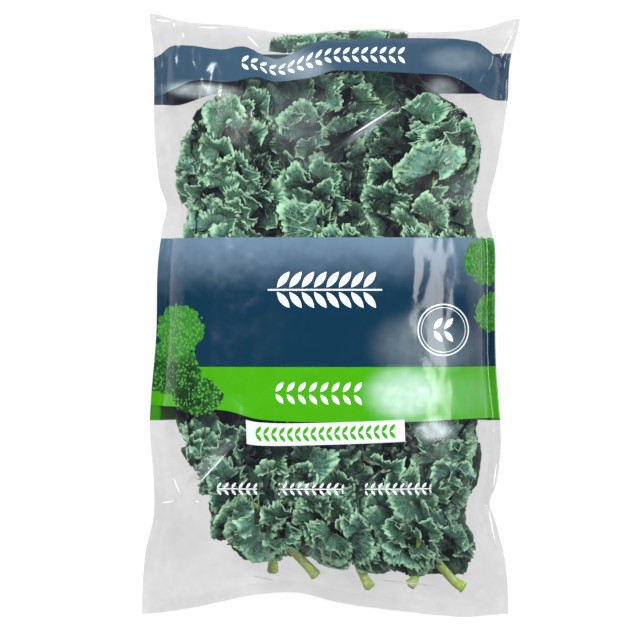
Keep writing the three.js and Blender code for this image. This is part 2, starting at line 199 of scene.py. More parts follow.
def thicken(piece, thickness, offset):
    wall = piece.modifiers.new("thickness", "SOLIDIFY")
    wall.thickness = thickness * toMetres
    wall.offset = offset
    onlyActive(piece)
    bpy.ops.object.modifier_apply(modifier=wall.name)


def editAll(piece, change, **settings):  # one edit on all of a piece's faces
    onlyActive(piece)
    bpy.ops.object.mode_set(mode="EDIT")
    bpy.ops.mesh.select_all(action="SELECT")
    change(**settings)
    bpy.ops.object.mode_set(mode="OBJECT")


# Kale leaves, in mm

leafShape = {
    "columns": [150, 110],  # of the blade's grid, on the front leaves and on the back ones
    "rows": [10, 8],
    "thickness": 0.42,
    "height": 33,  # of a layer of leaves, before it is fitted into the bag
    "foot": 5.5,  # the midrib's height above the layer's floor
    "waves": 6,  # large frills on each half of the margin
    "bladeShare": 0.78,  # of the leaf's width; the lobes reach past it
    "waveHeight": 6.0,
    "wavePower": 1.5,  # how soon the waves die out towards the midrib
    "wander": 0.8,
    "curls": 16,  # middle-sized frills
    "curlHeight": 3.4,
    "curlPower": 2.6,
    "curlLean": 0.011,  # the frills lean over their own feet
    "teeth": 36,
    "tooth": 0.05,
    "sideVeins": 9,
    "veinDepth": 0.8,
    "blister": 0.9,
    "lobe": 0.07,
    "swell": 2.5,
    "pastRib": 14,  # how far one half of the blade may reach past its own midrib
    "pastRibAtTip": 30,
    "footLean": -34,  # degrees that the blade points forward, at its foot, side and tip
    "sideLean": 18,
    "tipLean": 90,
    "ribHalfWidth": [3.4, 1.1],
    "ribDepth": [4.6, 0.5],
    "footRoom": 11,
    "tipRoom": 2,
    "stalkRadius": 3.3,
    "stalkTaper": 0.72,
    "stalkSides": 14,
    "stalkRings": 70,
    "ribTip": 0.12,  # the midrib's radius at the leaf's tip, as a share of the stalk's
    "cutFlare": 0.16,
    "paleFrom": 0.72,  # the blade ends where the lobes' light margins, partly painted highlight, would start
    "bladeDepth": [0.15, 0.75],  # how little painted shade the blade gets, 0 to 1, of a front leaf and a back one
    "innerDepth": 0.3,  # painted shade: a back leaf's inner side is darker by this much
}
lobeShape = {  # the fan-shaped frilled lobes that grow from the blade
    "count": [70, 38],  # on a front leaf and on a back one
    "columns": [76, 44],
    "rows": [4, 4],
    "size": [9, 22],
    "innerSize": 0.85,
    "backSize": 1.25,
    "spread": [1.1, 1.9],  # half of the fan's angle, in radians
    # the outer ring of lobes and the inner one: how steep, which way from the tip, how high
    "outerRise": [4, 45],
    "innerRise": [15, 70],
    "outerTurn": [30, 110],
    "innerTurn": [-60, 95],
    "outerHeight": [4, 12],
    "innerHeight": [8, 20],
    "alongSpread": [-1.2, 0.9],
    "outerReach": [-6, 5],
    "innerReach": [0.12, 0.66],
    "evenStep": 0.382,  # spreads the inner lobes evenly across the leaf
    "overStalk": {"to": 0.06, "turn": [105, 180], "reach": [1, 15]},  # the lowest frills
    "crossing": 6.5,  # mm that the frills of one leaf may reach in between those of the next
    "crumple": 1.3,
    "broadEvery": 7,  # each seventh lobe is a broad smooth one that lies flat
    "broadSize": 1.5,
    "broadRise": 0.4,
    "broadCurl": 1.6,
    "broadTint": 1.5,  # above 1, the veins show more
    "tops": {"front_top_middle": 194.5},  # this leaf's frills reach the mouth
    "crown": {"count": 8, "turn": 25, "from": -30, "to": 42},  # the row of frills at that top
    "topSpread": [0, 7],
    "roll": 3.4,  # the lobe's slow waves
    "curlLength": 3.5,
    "curl": 1.9,
    "fineCurl": 0.8,
    "rib": 0.5,
    "cup": [-0.1, 0.5],
    "droop": [0.0, 0.55],
    "loop": 0.7,  # how far the curls swing in and out along the fan
    "tooth": 0.04,
    # the heap's sides in the photo, which single lobes pass or fall short of: [along the bag, across it]
    "leftLimit": [
        [-172, -52], [-160, -60], [-148, -74], [-120, -79], [-100, -90], [-80, -95], [-40, -100],
        [50, -99], [82, -104], [108, -96], [134, -98], [150, -84], [188, -50],
    ],
    "rightLimit": [
        [-172, 89], [-152, 97], [-132, 95], [-100, 101], [-70, 105], [85, 104], [124, 105], [142, 95],
        [160, 74], [188, 54],
    ],
    "limitSpread": [-4, 6],
}
heapShape = {
    "spread": 115,  # p at the bag's edge
    "left": [
        [-170, -60], [-150, -78], [-120, -98], [-90, -104], [100, -104], [137, -84], [152, -64],
        [188, -46],
    ],
    "right": [
        [-170, 97], [-120, 103], [-90, 104], [105, 104], [137, 93], [152, 70], [188, 54],
    ],
    "middle": 0.48,  # between the back layer and the front one
    "betweenLayers": 0.8,
    "betweenCells": 0.8,
    "clearOfFront": 1.6,
    "clearOfSides": 7,
    "clearOfBack": 2.8,
    "halfWidth": 108,
    "drift": 5,  # the leaves sway to and fro along the bag
    "driftEvery": 36,
    "tilt": 12,
    "tiltEvery": 43,
    # the room that the upper leaves' stalks take between the layers
    "stalks": {"half": 4.6, "from": -84, "to": -6, "fade": 22, "within": 0.6, "out": 0.84},
}
tiers = {
    "frontTop": {"side": 1, "from": 4, "to": 188, "low": [-36, 26], "high": [-36, 40], "wander": 5},
    "frontLow": {"side": 1, "from": -168, "to": -14, "low": [-24, 32], "high": [-22, 40], "wander": 5},
    "backTop": {"side": -1, "from": 4, "to": 186, "low": [4], "high": [-6], "wander": 6},
    "backLow": {"side": -1, "from": -166, "to": -16, "low": [6], "high": [6], "wander": 6},
}
# Each half of a blade is flat for "flat" mm, then folds up by "open" degrees with "turn" as its radius.
# "base" is the midrib's place across the bag at its foot, and "stem" is the stalk's route to its cut end.
leafColumns = [
    "name", "tier", "cell", "top", "width", "flat", "turn", "open", "bow", "base", "seed", "stem",
]
leafRows = [
    ["front_top_left", "frontTop", 0, 160, 40, 4, 14, 76, 4, -58, 1.3, [[-55, -10], [-48, -34], [-38, -76]]],
    ["front_top_middle", "frontTop", 1, 188, 42, 7, 22, 60, -6, -4, 2.9, [[-5, -12], [-6, -36], [-8, -79]]],
    ["front_top_right", "frontTop", 2, 158, 38, 4, 12, 108, 6, 60, 4.1, [[57, -10], [50, -34], [40, -74]]],
    ["front_low_left", "frontLow", 0, -14, 45, 5, 18, 50, -8, -32, 5.7, [[-19, -172], [-13, -179]]],
    ["front_low_middle", "frontLow", 1, -14, 37, 4, 12, 102, 4, 12, 6.4, [[18, -174], [21, -180]]],
    ["front_low_right", "frontLow", 2, -14, 43, 8, 16, 56, 6, 56, 7.9, [[51, -172], [48, -176]]],
    ["back_top_left", "backTop", 0, 168, 42, 7, 13, 82, 5, -40, 8.6, [[-37, -12], [-30, -36], [-22, -77]]],
    ["back_top_right", "backTop", 1, 184, 44, 8, 16, 62, -6, 42, 9.8, [[39, -12], [30, -36], [18, -80]]],
    ["back_low_left", "backLow", 0, -16, 44, 8, 15, 60, -5, -34, 11.2, [[-34, -173], [-34, -179]]],
    ["back_low_right", "backLow", 1, -16, 41, 7, 13, 84, 6, 66, 12.5, [[79, -170], [87, -176]]],
]
leaves = [dict(zip(leafColumns, row)) for row in leafRows]
lobeLeftAt = through(lobeShape["leftLimit"])
lobeRightAt = through(lobeShape["rightLimit"])
heapLeftAt = through(heapShape["left"])
heapRightAt = through(heapShape["right"])


def inBag(p, q, height, side):  # p across the bag, q along it, height above the layer's floor
    heap = heapShape
    tilt = heap["tilt"] * (height / leafShape["height"] - 0.5) * np.sin(q / heap["tiltEvery"] + 2 * side)
    drift = heap["drift"] * np.sin(q / heap["driftEvery"] + side) + tilt
    drift = drift * (1 - (p / heap["halfWidth"]) ** 2)
    u = (p + drift) / heap["spread"]
    v = q / bagShape["halfLength"]
    low, high = cavity(u, v)
    stalks = heap["stalks"]
    space = stalks["half"] * smooth(q, stalks["from"] - stalks["fade"], stalks["from"])
    space = space * (1 - smooth(q, stalks["to"], stalks["to"] + stalks["fade"]))
    space = space * (1 - smooth(np.abs(u), stalks["within"], stalks["out"]))
    floor = mix(low, high, heap["middle"]) + side * (heap["betweenLayers"] + space)
    clear = mix(heap["clearOfFront"], heap["clearOfSides"], smooth(np.abs(u), 0.7, 0.9))
    ceiling = high - clear if side > 0 else low + heap["clearOfBack"]
    x, y = bagPlan(u, v)
    return np.stack([x, y, mix(floor, ceiling, height / leafShape["height"])], axis=-1)


def cellAt(one, q):
    tier = tiers[one["tier"]]
    share = (q - tier["from"]) / (tier["to"] - tier["from"])
    limits = [heapLeftAt(q)]
    for k, (low, high) in enumerate(zip(tier["low"], tier["high"])):
        limits.append(mix(low, high, share) + tier["wander"] * np.sin(q / 21 + 2.1 * k + tier["from"]))
    limits.append(heapRightAt(q))
    return limits[one["cell"]], limits[one["cell"] + 1]


def fold(distance, one):
    full = math.radians(one["open"]) * one["turn"]
    arc = np.clip(distance - one["flat"], 0, full)
    angle = arc / one["turn"]
    past = np.maximum(distance - one["flat"] - full, 0)
    aside = np.minimum(distance, one["flat"]) + one["turn"] * np.sin(angle) + past * np.cos(angle)
    return angle, aside, one["turn"] * (1 - np.cos(angle)) + past * np.sin(angle)


def ribPlan(one, along):
    foot = tiers[one["tier"]]["from"] + leafShape["footRoom"]
    tip = one["top"] - 0.9 * fold(one["width"], one)[1] - leafShape["tipRoom"]
    q = mix(foot, tip, along)
    left, right = cellAt(one, q)
    settled = mix(one["base"], (left + right) / 2, smooth(along, 0, 0.6))
    return settled + one["bow"] * np.sin(math.pi * along), q


def ripple(m, count, wander, seed):  # an uneven wave along the margin
    phase = turn * count * m + wander * np.sin(turn * count * 0.14 * m + seed * 2.1) + seed
    return (0.8 + 0.2 * np.sin(turn * count * 0.28 * m + seed * 3.7)) * np.sin(phase), phase


def bladePlaces(one, m, out):  # m along the margin, out from 0 on the midrib to 1 on the margin
    shape = leafShape
    tier = tiers[one["tier"]]
    seed = one["seed"]
    curl, curlPhase = ripple(m, shape["curls"], 1.5, seed * 1.7)
    m = np.clip(m - shape["curlLean"] * np.sin(2 * curlPhase) * out ** 3, 0, 2)
    along = 1 - np.abs(1 - m)
    hand = np.where(m <= 1, 1, -1)
    veinLean = mix(shape["footLean"], shape["sideLean"], smooth(along, 0, 0.35))
    leanAngle = np.radians(mix(veinLean, shape["tipLean"], along ** 4))
    beside = mix(*shape["ribHalfWidth"], along)
    lobe = shape["lobe"] * np.sin(turn * 3 * along + seed * 1.9) * smooth(along, 0, 0.2)
    edge = 0.1 + 0.9 * smooth(along, -0.01, 0.3) ** 0.55 - 0.05 * smooth(along, 0.75, 1) + lobe
    teeth = 1 - shape["tooth"] * (0.5 + 0.5 * np.sin(turn * shape["teeth"] * m + seed))
    edge = shape["bladeShare"] * one["width"] * edge * teeth
    distance = edge * out
    share = np.clip((distance - beside) / (edge - beside), 0, 1)
    angle, aside, up = fold(distance, one)
    frill, _ = ripple(m, shape["waves"], shape["wander"], seed)
    wave = shape["waveHeight"] * frill * share ** shape["wavePower"]
    wave = wave + shape["curlHeight"] * curl * share ** shape["curlPower"]
    # Sunken side veins, with the blade blistered between them.
    vein = np.cos(math.pi * shape["sideVeins"] * m + seed) ** 2
    wave = wave + shape["veinDepth"] * (1 - np.exp(-((vein / 0.12) ** 2)) - 0.5) * np.sin(math.pi * share)
    blister = np.sin(41 * m + 3 * seed + 9 * share) * np.sin(27 * share + 17 * m + seed)
    wave = wave + shape["blister"] * blister * np.sin(math.pi * np.clip(share * 1.05, 0, 1))
    reach = aside - wave * np.sin(angle)
    ribP, ribQ = ribPlan(one, 1 - (1 - along) ** 1.5)
    cellLeft, cellRight = cellAt(one, ribQ)
    room = np.where(hand > 0, cellRight - ribP, ribP - cellLeft)
    atTurn = fold(one["flat"] + one["turn"] * math.radians(min(one["open"], 90)), one)[1]
    foldReach = max(float(atTurn), float(fold(one["width"], one)[1]))
    stretch = mix(1, shape["bladeShare"] * (room + 4) / foldReach, smooth(reach, 0, 12))
    p = ribP + hand * reach * np.cos(leanAngle) * stretch
    q = ribQ + reach * np.sin(leanAngle)
    pastRib = shape["pastRib"] * (1 - smooth(share, 0.2, 0.6))
    pastRib = pastRib + shape["pastRibAtTip"] * smooth(leanAngle, 1, 1.5) - 1.5
    left, right = cellAt(one, q)
    left = np.where(hand > 0, np.maximum(left, ribP - pastRib), left)
    right = np.where(hand > 0, right, np.minimum(right, ribP + pastRib))
    swell = shape["swell"] * np.sin(ribQ / 17 + seed) * share
    height = within(shape["foot"] + up + wave * np.cos(angle) + swell, 0, shape["height"], 4)
    between = heapShape["betweenCells"]
    left = np.maximum(left + between, lobeLeftAt(q) + 7)
    right = np.minimum(right - between, lobeRightAt(q) - 7)
    return inBag(
        within(p, left, right, 5),
        within(q, tier["from"], one["top"], 6),
        height,
        tier["side"],
    )


def stalkLine(one):  # the middle line of stalk and midrib, from the cut end to the tip
    tier = tiers[one["tier"]]
    side = tier["side"]
    shape = leafShape
    upper = one["tier"].endswith("Top")
    path = []
    for p, q in reversed(one["stem"]):
        place = inBag(np.float64(p), np.float64(q), 0.0 if upper else shape["foot"], side)
        if upper:
            place[2] -= side * (heapShape["stalks"]["half"] + heapShape["betweenLayers"])
        path.append(place)
    for along in np.concatenate([[0.02, 0.1], np.linspace(0.2, 1, 9)]):
        p, q = ribPlan(one, along)
        place = inBag(p, q, shape["foot"], side)
        place[2] -= mix(*shape["ribDepth"], along ** 0.7) / 3 * side
        path.append(place)
    return np.array(path)


def alongLine(path, count):  # even steps on a smooth line through the path's points
    ends = [2 * path[0] - path[1], *path, 2 * path[-1] - path[-2]]
    fine = []
    for a, b, c, d in zip(ends, ends[1:], ends[2:], ends[3:]):
        for t in np.linspace(0, 1, 12, endpoint=False):
            first = 2 * b + (c - a) * t + (2 * a - 5 * b + 4 * c - d) * t ** 2
            fine.append((first + (3 * b - a - 3 * c + d) * t ** 3) / 2)
    fine = np.array([*fine, path[-1]])
    length = np.concatenate([[0], np.cumsum(np.linalg.norm(np.diff(fine, axis=0), axis=1))])
    wanted = np.linspace(0, length[-1], count)
    return np.stack([np.interp(wanted, length, fine[:, k]) for k in range(3)], axis=-1), length[-1]


def makeStalk(one):
    shape = leafShape
    rings = shape["stalkRings"]
    path = stalkLine(one)
    line, length = alongLine(path, rings)
    sides = shape["stalkSides"]
    bpy.ops.mesh.primitive_cylinder_add(vertices=sides, radius=1, depth=1, end_fill_type="TRIFAN")
    piece = bpy.context.object
    onlyActive(piece)
    bpy.ops.object.mode_set(mode="EDIT")
    bpy.ops.mesh.select_mode(type="EDGE")
    mesh = bmesh.from_edit_mesh(piece.data)
    for edge in mesh.edges:
        edge.select = abs(edge.verts[0].co.z - edge.verts[1].co.z) > 0.5
    bmesh.update_edit_mesh(piece.data)
    bpy.ops.mesh.subdivide(number_cuts=rings - 2)
    bpy.ops.object.mode_set(mode="OBJECT")
    start = np.empty(len(piece.data.vertices) * 3, np.float32)
    piece.data.vertices.foreach_get("co", start)
    start = start.reshape(-1, 3)
    along = start[:, 2] + 0.5
    ring = np.rint(along * (rings - 1)).astype(int)
    forward = np.gradient(line, axis=0)
    forward /= np.linalg.norm(forward, axis=1)[:, None]
    aside = np.cross(forward, [0, 0, 1])
    aside /= np.linalg.norm(aside, axis=1)[:, None]
    over = np.cross(aside, forward)
    ribStart = len(one["stem"]) + 1
    stalkShare = np.linalg.norm(np.diff(path[:ribStart], axis=0), axis=1).sum() / length
    onRib = np.clip((along - stalkShare) / (1 - stalkShare), 0, 1)
    radius = shape["stalkRadius"] * mix(1, shape["stalkTaper"], np.clip(along / stalkShare, 0, 1))
    radius = radius * mix(1, shape["ribTip"], smooth(onRib, 0, 1) ** 0.8)
    around = np.arctan2(start[:, 1], start[:, 0])
    groove = 1 - 0.05 * np.cos(5 * around + one["seed"]) - 0.04 * np.sin(along * 31 + 2 * around)
    flare = 1 + shape["cutFlare"] * np.exp(-along * length / 5)
    radius = radius * groove * flare
    places = line[ring] + aside[ring] * (start[:, 0] * radius)[:, None]
    places = places + over[ring] * (start[:, 1] * radius)[:, None]
    placeVertices(piece, toFrame(*places.T))
    setUv(piece, "blade", np.stack([along, around / turn + 0.5], axis=-1))
    for name, value in {"stalk": 1, "under": 0, "facing": 1, "tint": 0.5, "depth": 1}.items():
        addFloats(piece, name, np.full(len(start), value))
    return piece


def lobeFoot(one, chance, k, count):  # where a lobe grows, which way it points, and its size
    shape = lobeShape
    inner = k % 2 == 1
    ring = "inner" if inner else "outer"
    hand = 1 if k % 4 < 2 else -1
    broad = k % shape["broadEvery"] == 3
    back = tiers[one["tier"]]["side"] < 0
    along = (k // 4 + chance.uniform(*shape["alongSpread"])) / math.ceil(count / 4)
    size = chance.uniform(*shape["size"]) * (shape["innerSize"] if inner else 1)
    size = size * (shape["broadSize"] if broad else 1) * (shape["backSize"] if back else 1)
    rise = math.radians(chance.uniform(*shape[ring + "Rise"]) * (shape["broadRise"] if broad else 1))
    aim = chance.uniform(*shape[ring + "Turn"]) * (1 - 0.75 * float(smooth(along, 0.72, 1)))
    aim = math.radians(aim + (50 * (1 - along / 0.15) if along < 0.15 else 0))
    ribP, ribQ = ribPlan(one, along)
    left, right = cellAt(one, ribQ)
    room = right - ribP if hand > 0 else ribP - left
    reach = size * math.cos(rise)
    evenShare = shape["innerReach"][0] + shape["innerReach"][1] * (k * shape["evenStep"] % 1)
    wanted = room * evenShare if inner else room + chance.uniform(*shape["outerReach"])
    footP = ribP + hand * max(1.0, wanted - reach * abs(math.sin(aim)))
    if along < shape["overStalk"]["to"]:
        aim = math.radians(chance.uniform(*shape["overStalk"]["turn"]))
        footP = ribP + hand * chance.uniform(*shape["overStalk"]["reach"])
    top = shape["tops"].get(one["name"], one["top"])
    short = float(smooth(along, 0.6, 0.95)) * max(0, top - ribPlan(one, 1)[1] - 0.8 * reach)
    footQ = ribQ - 0.35 * reach * math.cos(aim) * (1 - along) + short
    crown = shape["crown"]
    place = (k - count + crown["count"]) / (crown["count"] - 1)
    if one["name"] in shape["tops"] and place >= 0:
        aim = hand * math.radians(chance.uniform(-crown["turn"], crown["turn"]))
        footP = mix(crown["from"], crown["to"], place)
        footQ = top - 0.75 * reach
    foot = np.array([footP, footQ, chance.uniform(*shape[ring + "Height"])])
    flat = np.array([hand * math.sin(aim), math.cos(aim)])
    forward = np.array([*flat * math.cos(rise), math.sin(rise)])
    normal = np.array([*-flat * math.sin(rise), math.cos(rise)])
    return foot, forward, normal, size, broad


def lobeFan(chance, size, broad, columns, rows):  # a frilled fan: ahead of its foot, beside it, above it
    shape = lobeShape
    spread = chance.uniform(*shape["spread"])
    seeds = chance.uniform(0, turn, 9)
    phi, t = np.meshgrid(np.linspace(-1, 1, columns + 1), np.linspace(0, 1, rows + 1))
    phi, t = phi.ravel(), t.ravel()
    out = 1 - (1 - t) ** 1.5
    rolls = 2.6 + 0.8 * math.sin(seeds[0])
    curls = round(2 * size * spread / shape["curlLength"] / (shape["broadCurl"] if broad else 1))
    curlPhase = curls * math.pi * phi + 2.4 * np.sin(5 * phi + seeds[1])
    curlPhase = curlPhase + 1.1 * np.sin(13 * phi + seeds[4]) + seeds[2]
    angle = spread * (phi + 0.024 * np.sin(2 * curlPhase) * out ** 3)
    wide = 1 + 0.16 * np.sin(3.3 * phi + seeds[5]) + 0.10 * np.sin(8 * phi + seeds[6]) * out
    wide = wide * (1 - 0.25 * smooth(np.abs(phi), 0.7, 1))
    tooth = 1 - shape["tooth"] * (0.5 + 0.5 * np.sin(17.3 * math.pi * phi + seeds[7])) * out ** 4
    radius = size * (0.07 + 0.93 * out) * (1 + (wide * tooth - 1) * out)
    radius = radius + shape["loop"] * np.cos(curlPhase + 0.5 + seeds[3]) * out ** 4
    rollWave = np.sin(rolls * math.pi * phi + 0.8 * np.sin(2.3 * phi + seeds[8]) + seeds[5])
    strength = 0.75 + 0.45 * np.sin(4.1 * phi + seeds[1]) * np.sin(9.7 * phi + seeds[3])
    wave = shape["roll"] * rollWave * out ** 1.7 + shape["curl"] * strength * np.sin(curlPhase) * out ** 4.5
    fine = np.sin(1.9 * curlPhase + 2.2 * np.sin(9 * phi + seeds[7]))
    wave = wave + shape["fineCurl"] * fine * out ** 9
    ahead = radius * np.cos(angle)
    beside = radius * np.sin(angle)
    cup = chance.uniform(*shape["cup"]) * beside ** 2 / size
    droop = chance.uniform(*shape["droop"]) * ahead * np.abs(ahead) / size
    vein = np.cos(2.5 * math.pi * phi + seeds[2]) ** 2
    ribs = shape["rib"] * (1 - np.exp(-((vein / 0.15) ** 2))) * np.sin(math.pi * out)
    crumple = np.sin(0.45 * ahead + seeds[4] + 1.3 * np.sin(0.3 * beside + seeds[1]))
    crumple = crumple * np.sin(0.5 * beside + seeds[3])
    crumple = shape["crumple"] * crumple * out * (1.3 - out)
    uv = np.stack([0.275 * (phi + 1) / 2 + 0.1 * seeds[0], out], axis=-1)
    return ahead, beside, wave + cup - droop + ribs + crumple, uv


def lobePlaces(one, chance, k, count, columns, rows):
    shape = lobeShape
    tier = tiers[one["tier"]]
    foot, forward, normal, size, broad = lobeFoot(one, chance, k, count)
    ahead, beside, lift, uv = lobeFan(chance, size, broad, columns, rows)
    places = foot + ahead[:, None] * forward + beside[:, None] * np.cross(forward, normal)
    p, q, height = (places + lift[:, None] * normal).T
    left, right = cellAt(one, q)
    # A lobe that passes the heap's limits is moved back whole, so the outline stays frilly.
    top = shape["tops"].get(one["name"], one["top"] - chance.uniform(*shape["topSpread"]))
    q = q - max(0, (q - top).max() - 2) + max(0, (tier["from"] - 4 - q).max() - 2)
    spare = chance.uniform(*shape["limitSpread"])
    leftLimit = np.maximum(lobeLeftAt(q) + spare, heapLeftAt(q) + 0.8)
    rightLimit = np.minimum(lobeRightAt(q) - spare, heapRightAt(q) - 0.8)
    left = np.maximum(left - shape["crossing"], leftLimit)
    right = np.minimum(right + shape["crossing"], rightLimit)
    p = p + max(0, (left - p).max() - 2) - max(0, (p - right).max() - 2)
    places = inBag(
        within(p, left, right, 3),
        within(q, tier["from"] - 4, top, 4),
        within(height, 0, leafShape["height"], 3.5),
        tier["side"],
    )
    tint = shape["broadTint"] if broad else chance.uniform(0, 1)
    return places, height / leafShape["height"], tint, uv


def makeLeaf(one):
    shape = leafShape
    side = tiers[one["tier"]]["side"]
    detail = 0 if side > 0 else 1
    chance = np.random.default_rng(int(one["seed"] * 10))
    columns, rows = shape["columns"][detail], shape["rows"][detail]
    piece = newGrid("kale_" + one["name"], columns, rows)
    m, t = np.meshgrid(np.linspace(0, 2, columns + 1), np.linspace(0, 1, rows + 1))
    out = 1 - (1 - t) ** 1.35
    places = bladePlaces(one, m.ravel(), out.ravel())
    placeVertices(piece, toFrame(*places.T))
    setUv(piece, "blade", np.stack([m.ravel() / 2, shape["paleFrom"] * out.ravel()], axis=-1))
    for name, value in {"facing": side, "tint": 0.5, "depth": shape["bladeDepth"][detail]}.items():
        addFloats(piece, name, np.full(len(places), value))
    editAll(piece, bpy.ops.mesh.remove_doubles, threshold=1e-6)  # closes the two halves along the midrib
    parts = [piece]
    count = lobeShape["count"][detail]
    if one["name"] in lobeShape["tops"]:
        count += lobeShape["crown"]["count"]
    columns, rows = lobeShape["columns"][detail], lobeShape["rows"][detail]
    for k in range(count):
        lobe = newGrid("lobe", columns, rows)
        places, depth, tint, uv = lobePlaces(one, chance, k, count, columns, rows)
        placeVertices(lobe, toFrame(*places.T))
        setUv(lobe, "blade", uv)
        addFloats(lobe, "facing", np.full(len(places), side))
        addFloats(lobe, "tint", np.full(len(places), tint))
        addFloats(lobe, "depth", depth)
        parts.append(lobe)
    joinAll(parts)
    count = len(piece.data.vertices)
    thicken(piece, shape["thickness"], 0)
    facing = readFloats(piece, "facing")
    facing[count:] *= -1  # the vertices that the thickness adds are on the leaf's other side
    if side < 0:  # painted shade: the back leaves are dark on the side that faces the middle of the heap
        depth = readFloats(piece, "depth")
        depth = np.where(facing < 0, shape["innerDepth"] * depth, depth)
        piece.data.attributes["depth"].data.foreach_set("value", depth)
    addFloats(piece, "under", facing < 0)
    addFloats(piece, "stalk", np.zeros(len(facing)))
    joinAll([piece, makeStalk(one)])
    bpy.ops.object.shade_smooth()
    return piece


# Materials

def put(tree, kind, inputs=(), **settings):  # a node, with its inputs linked or set
    made = tree.nodes.new("ShaderNode" + kind)
    for name, value in settings.items():
        setattr(made, name, value)
    for key, value in dict(inputs).items():
        if isinstance(value, bpy.types.NodeSocket):
            tree.links.new(value, made.inputs[key])
        else:
            made.inputs[key].default_value = value
    return made


def calc(tree, operation, *values, clamp=False):
    return put(tree, "Math", dict(enumerate(values)), operation=operation, use_clamp=clamp).outputs[0]


def times(tree, a, b):
    return calc(tree, "MULTIPLY", a, b)


def opposite(tree, mask):
    return calc(tree, "SUBTRACT", 1.0, mask)


def most(tree, *masks):
    total = masks[0]
    for mask in masks[1:]:
        total = calc(tree, "MAXIMUM", total, mask)
    return total


def pointValue(tree, name):
    return put(tree, "Attribute", attribute_name=name).outputs["Fac"]


def blendColours(tree, factor, a, b):
    return put(tree, "Mix", {0: factor, 6: a, 7: b}, data_type="RGBA").outputs[2]


def ramp(tree, value, low, high):  # 0 below low, 1 above high
    return put(tree, "MapRange", {0: value, 1: low, 2: high}, interpolation_type="SMOOTHSTEP").outputs[0]


def band(tree, value, low, high, soft=0.15):  # 1 between low and high
    started = ramp(tree, value, low - soft, low + soft)
    return times(tree, started, opposite(tree, ramp(tree, value, high - soft, high + soft)))


def distanceTo(tree, x, y, middleX, middleY):
    across = calc(tree, "POWER", calc(tree, "SUBTRACT", x, middleX), 2.0)
    along = calc(tree, "POWER", calc(tree, "SUBTRACT", y, middleY), 2.0)
    return calc(tree, "SQRT", calc(tree, "ADD", across, along))


def newMaterial(name):
    made = bpy.data.materials.new(name)
    made.use_nodes = True
    made.node_tree.nodes.clear()
    shader = put(made.node_tree, "BsdfPrincipled")
    output = put(made.node_tree, "OutputMaterial")
    made.node_tree.links.new(shader.outputs[0], output.inputs[0])
    return made, made.node_tree, shader


def newGroup(name, inputs, outputs):
    made = bpy.data.node_groups.new(name, "ShaderNodeTree")
    for label, kind, value in inputs:
        socket = made.interface.new_socket(label, in_out="INPUT", socket_type="NodeSocket" + kind)
        if value is not None:
            socket.default_value = value
    for label, kind in outputs:
        made.interface.new_socket(label, in_out="OUTPUT", socket_type="NodeSocket" + kind)
    entry = made.nodes.new("NodeGroupInput")
    leaving = made.nodes.new("NodeGroupOutput")
    return made, entry.outputs, leaving.inputs


def placeGroup(tree, group, inputs):
    return put(tree, "Group", inputs, node_tree=group).outputs


def makeMottle():  # soft blotches of two sizes, from 0 to 1
    group, given, wanted = newGroup(
        "mottle",
        [("Place", "Vector", None), ("Size", "Float", 40.0), ("Fine", "Float", 0.4)],
        [("Blotches", "Float")],
    )
    broad = put(group, "TexNoise", {"Vector": given["Place"], "Scale": given["Size"], "Detail": 2.0})
    closeScale = times(group, given["Size"], 7.0)
    close = put(group, "TexNoise", {"Vector": given["Place"], "Scale": closeScale, "Detail": 1.0})
    both = put(group, "Mix", {0: given["Fine"], 2: broad.outputs[0], 3: close.outputs[0]}, data_type="FLOAT")
    group.links.new(ramp(group, both.outputs[0], 0.32, 0.68), wanted["Blotches"])
    return group


bladeLook = {
    "paintedShade": (0.004, 0.016, 0.010, 1),
    "dark": (0.010, 0.070, 0.038, 1),
    "green": (0.036, 0.200, 0.110, 1),
    "waxy": (0.112, 0.340, 0.265, 1),
    "paleLit": (0.50, 0.86, 0.55, 1),
    "vein": (0.38, 0.56, 0.33, 1),
    "underTint": (0.26, 0.38, 0.29, 1),
    "stalk": (0.33, 0.52, 0.06, 1),
    "stalkPale": (0.62, 0.72, 0.30, 1),
    "roughness": 0.48,
    "margin": [0.80, 1.06],  # the light margin, partly the leaf's own lighter edge and partly painted highlight and glow through the thin edge, from 0 on the midrib to 1 on the edge
    "paleLitShare": 0.85,
    "underShare": 0.30,
    "gapShade": [0.26, 0.95],  # painted shade: how far down in the heap the leaves are painted nearly black, and where that ends
    "gapShadeShare": 0.92,
}


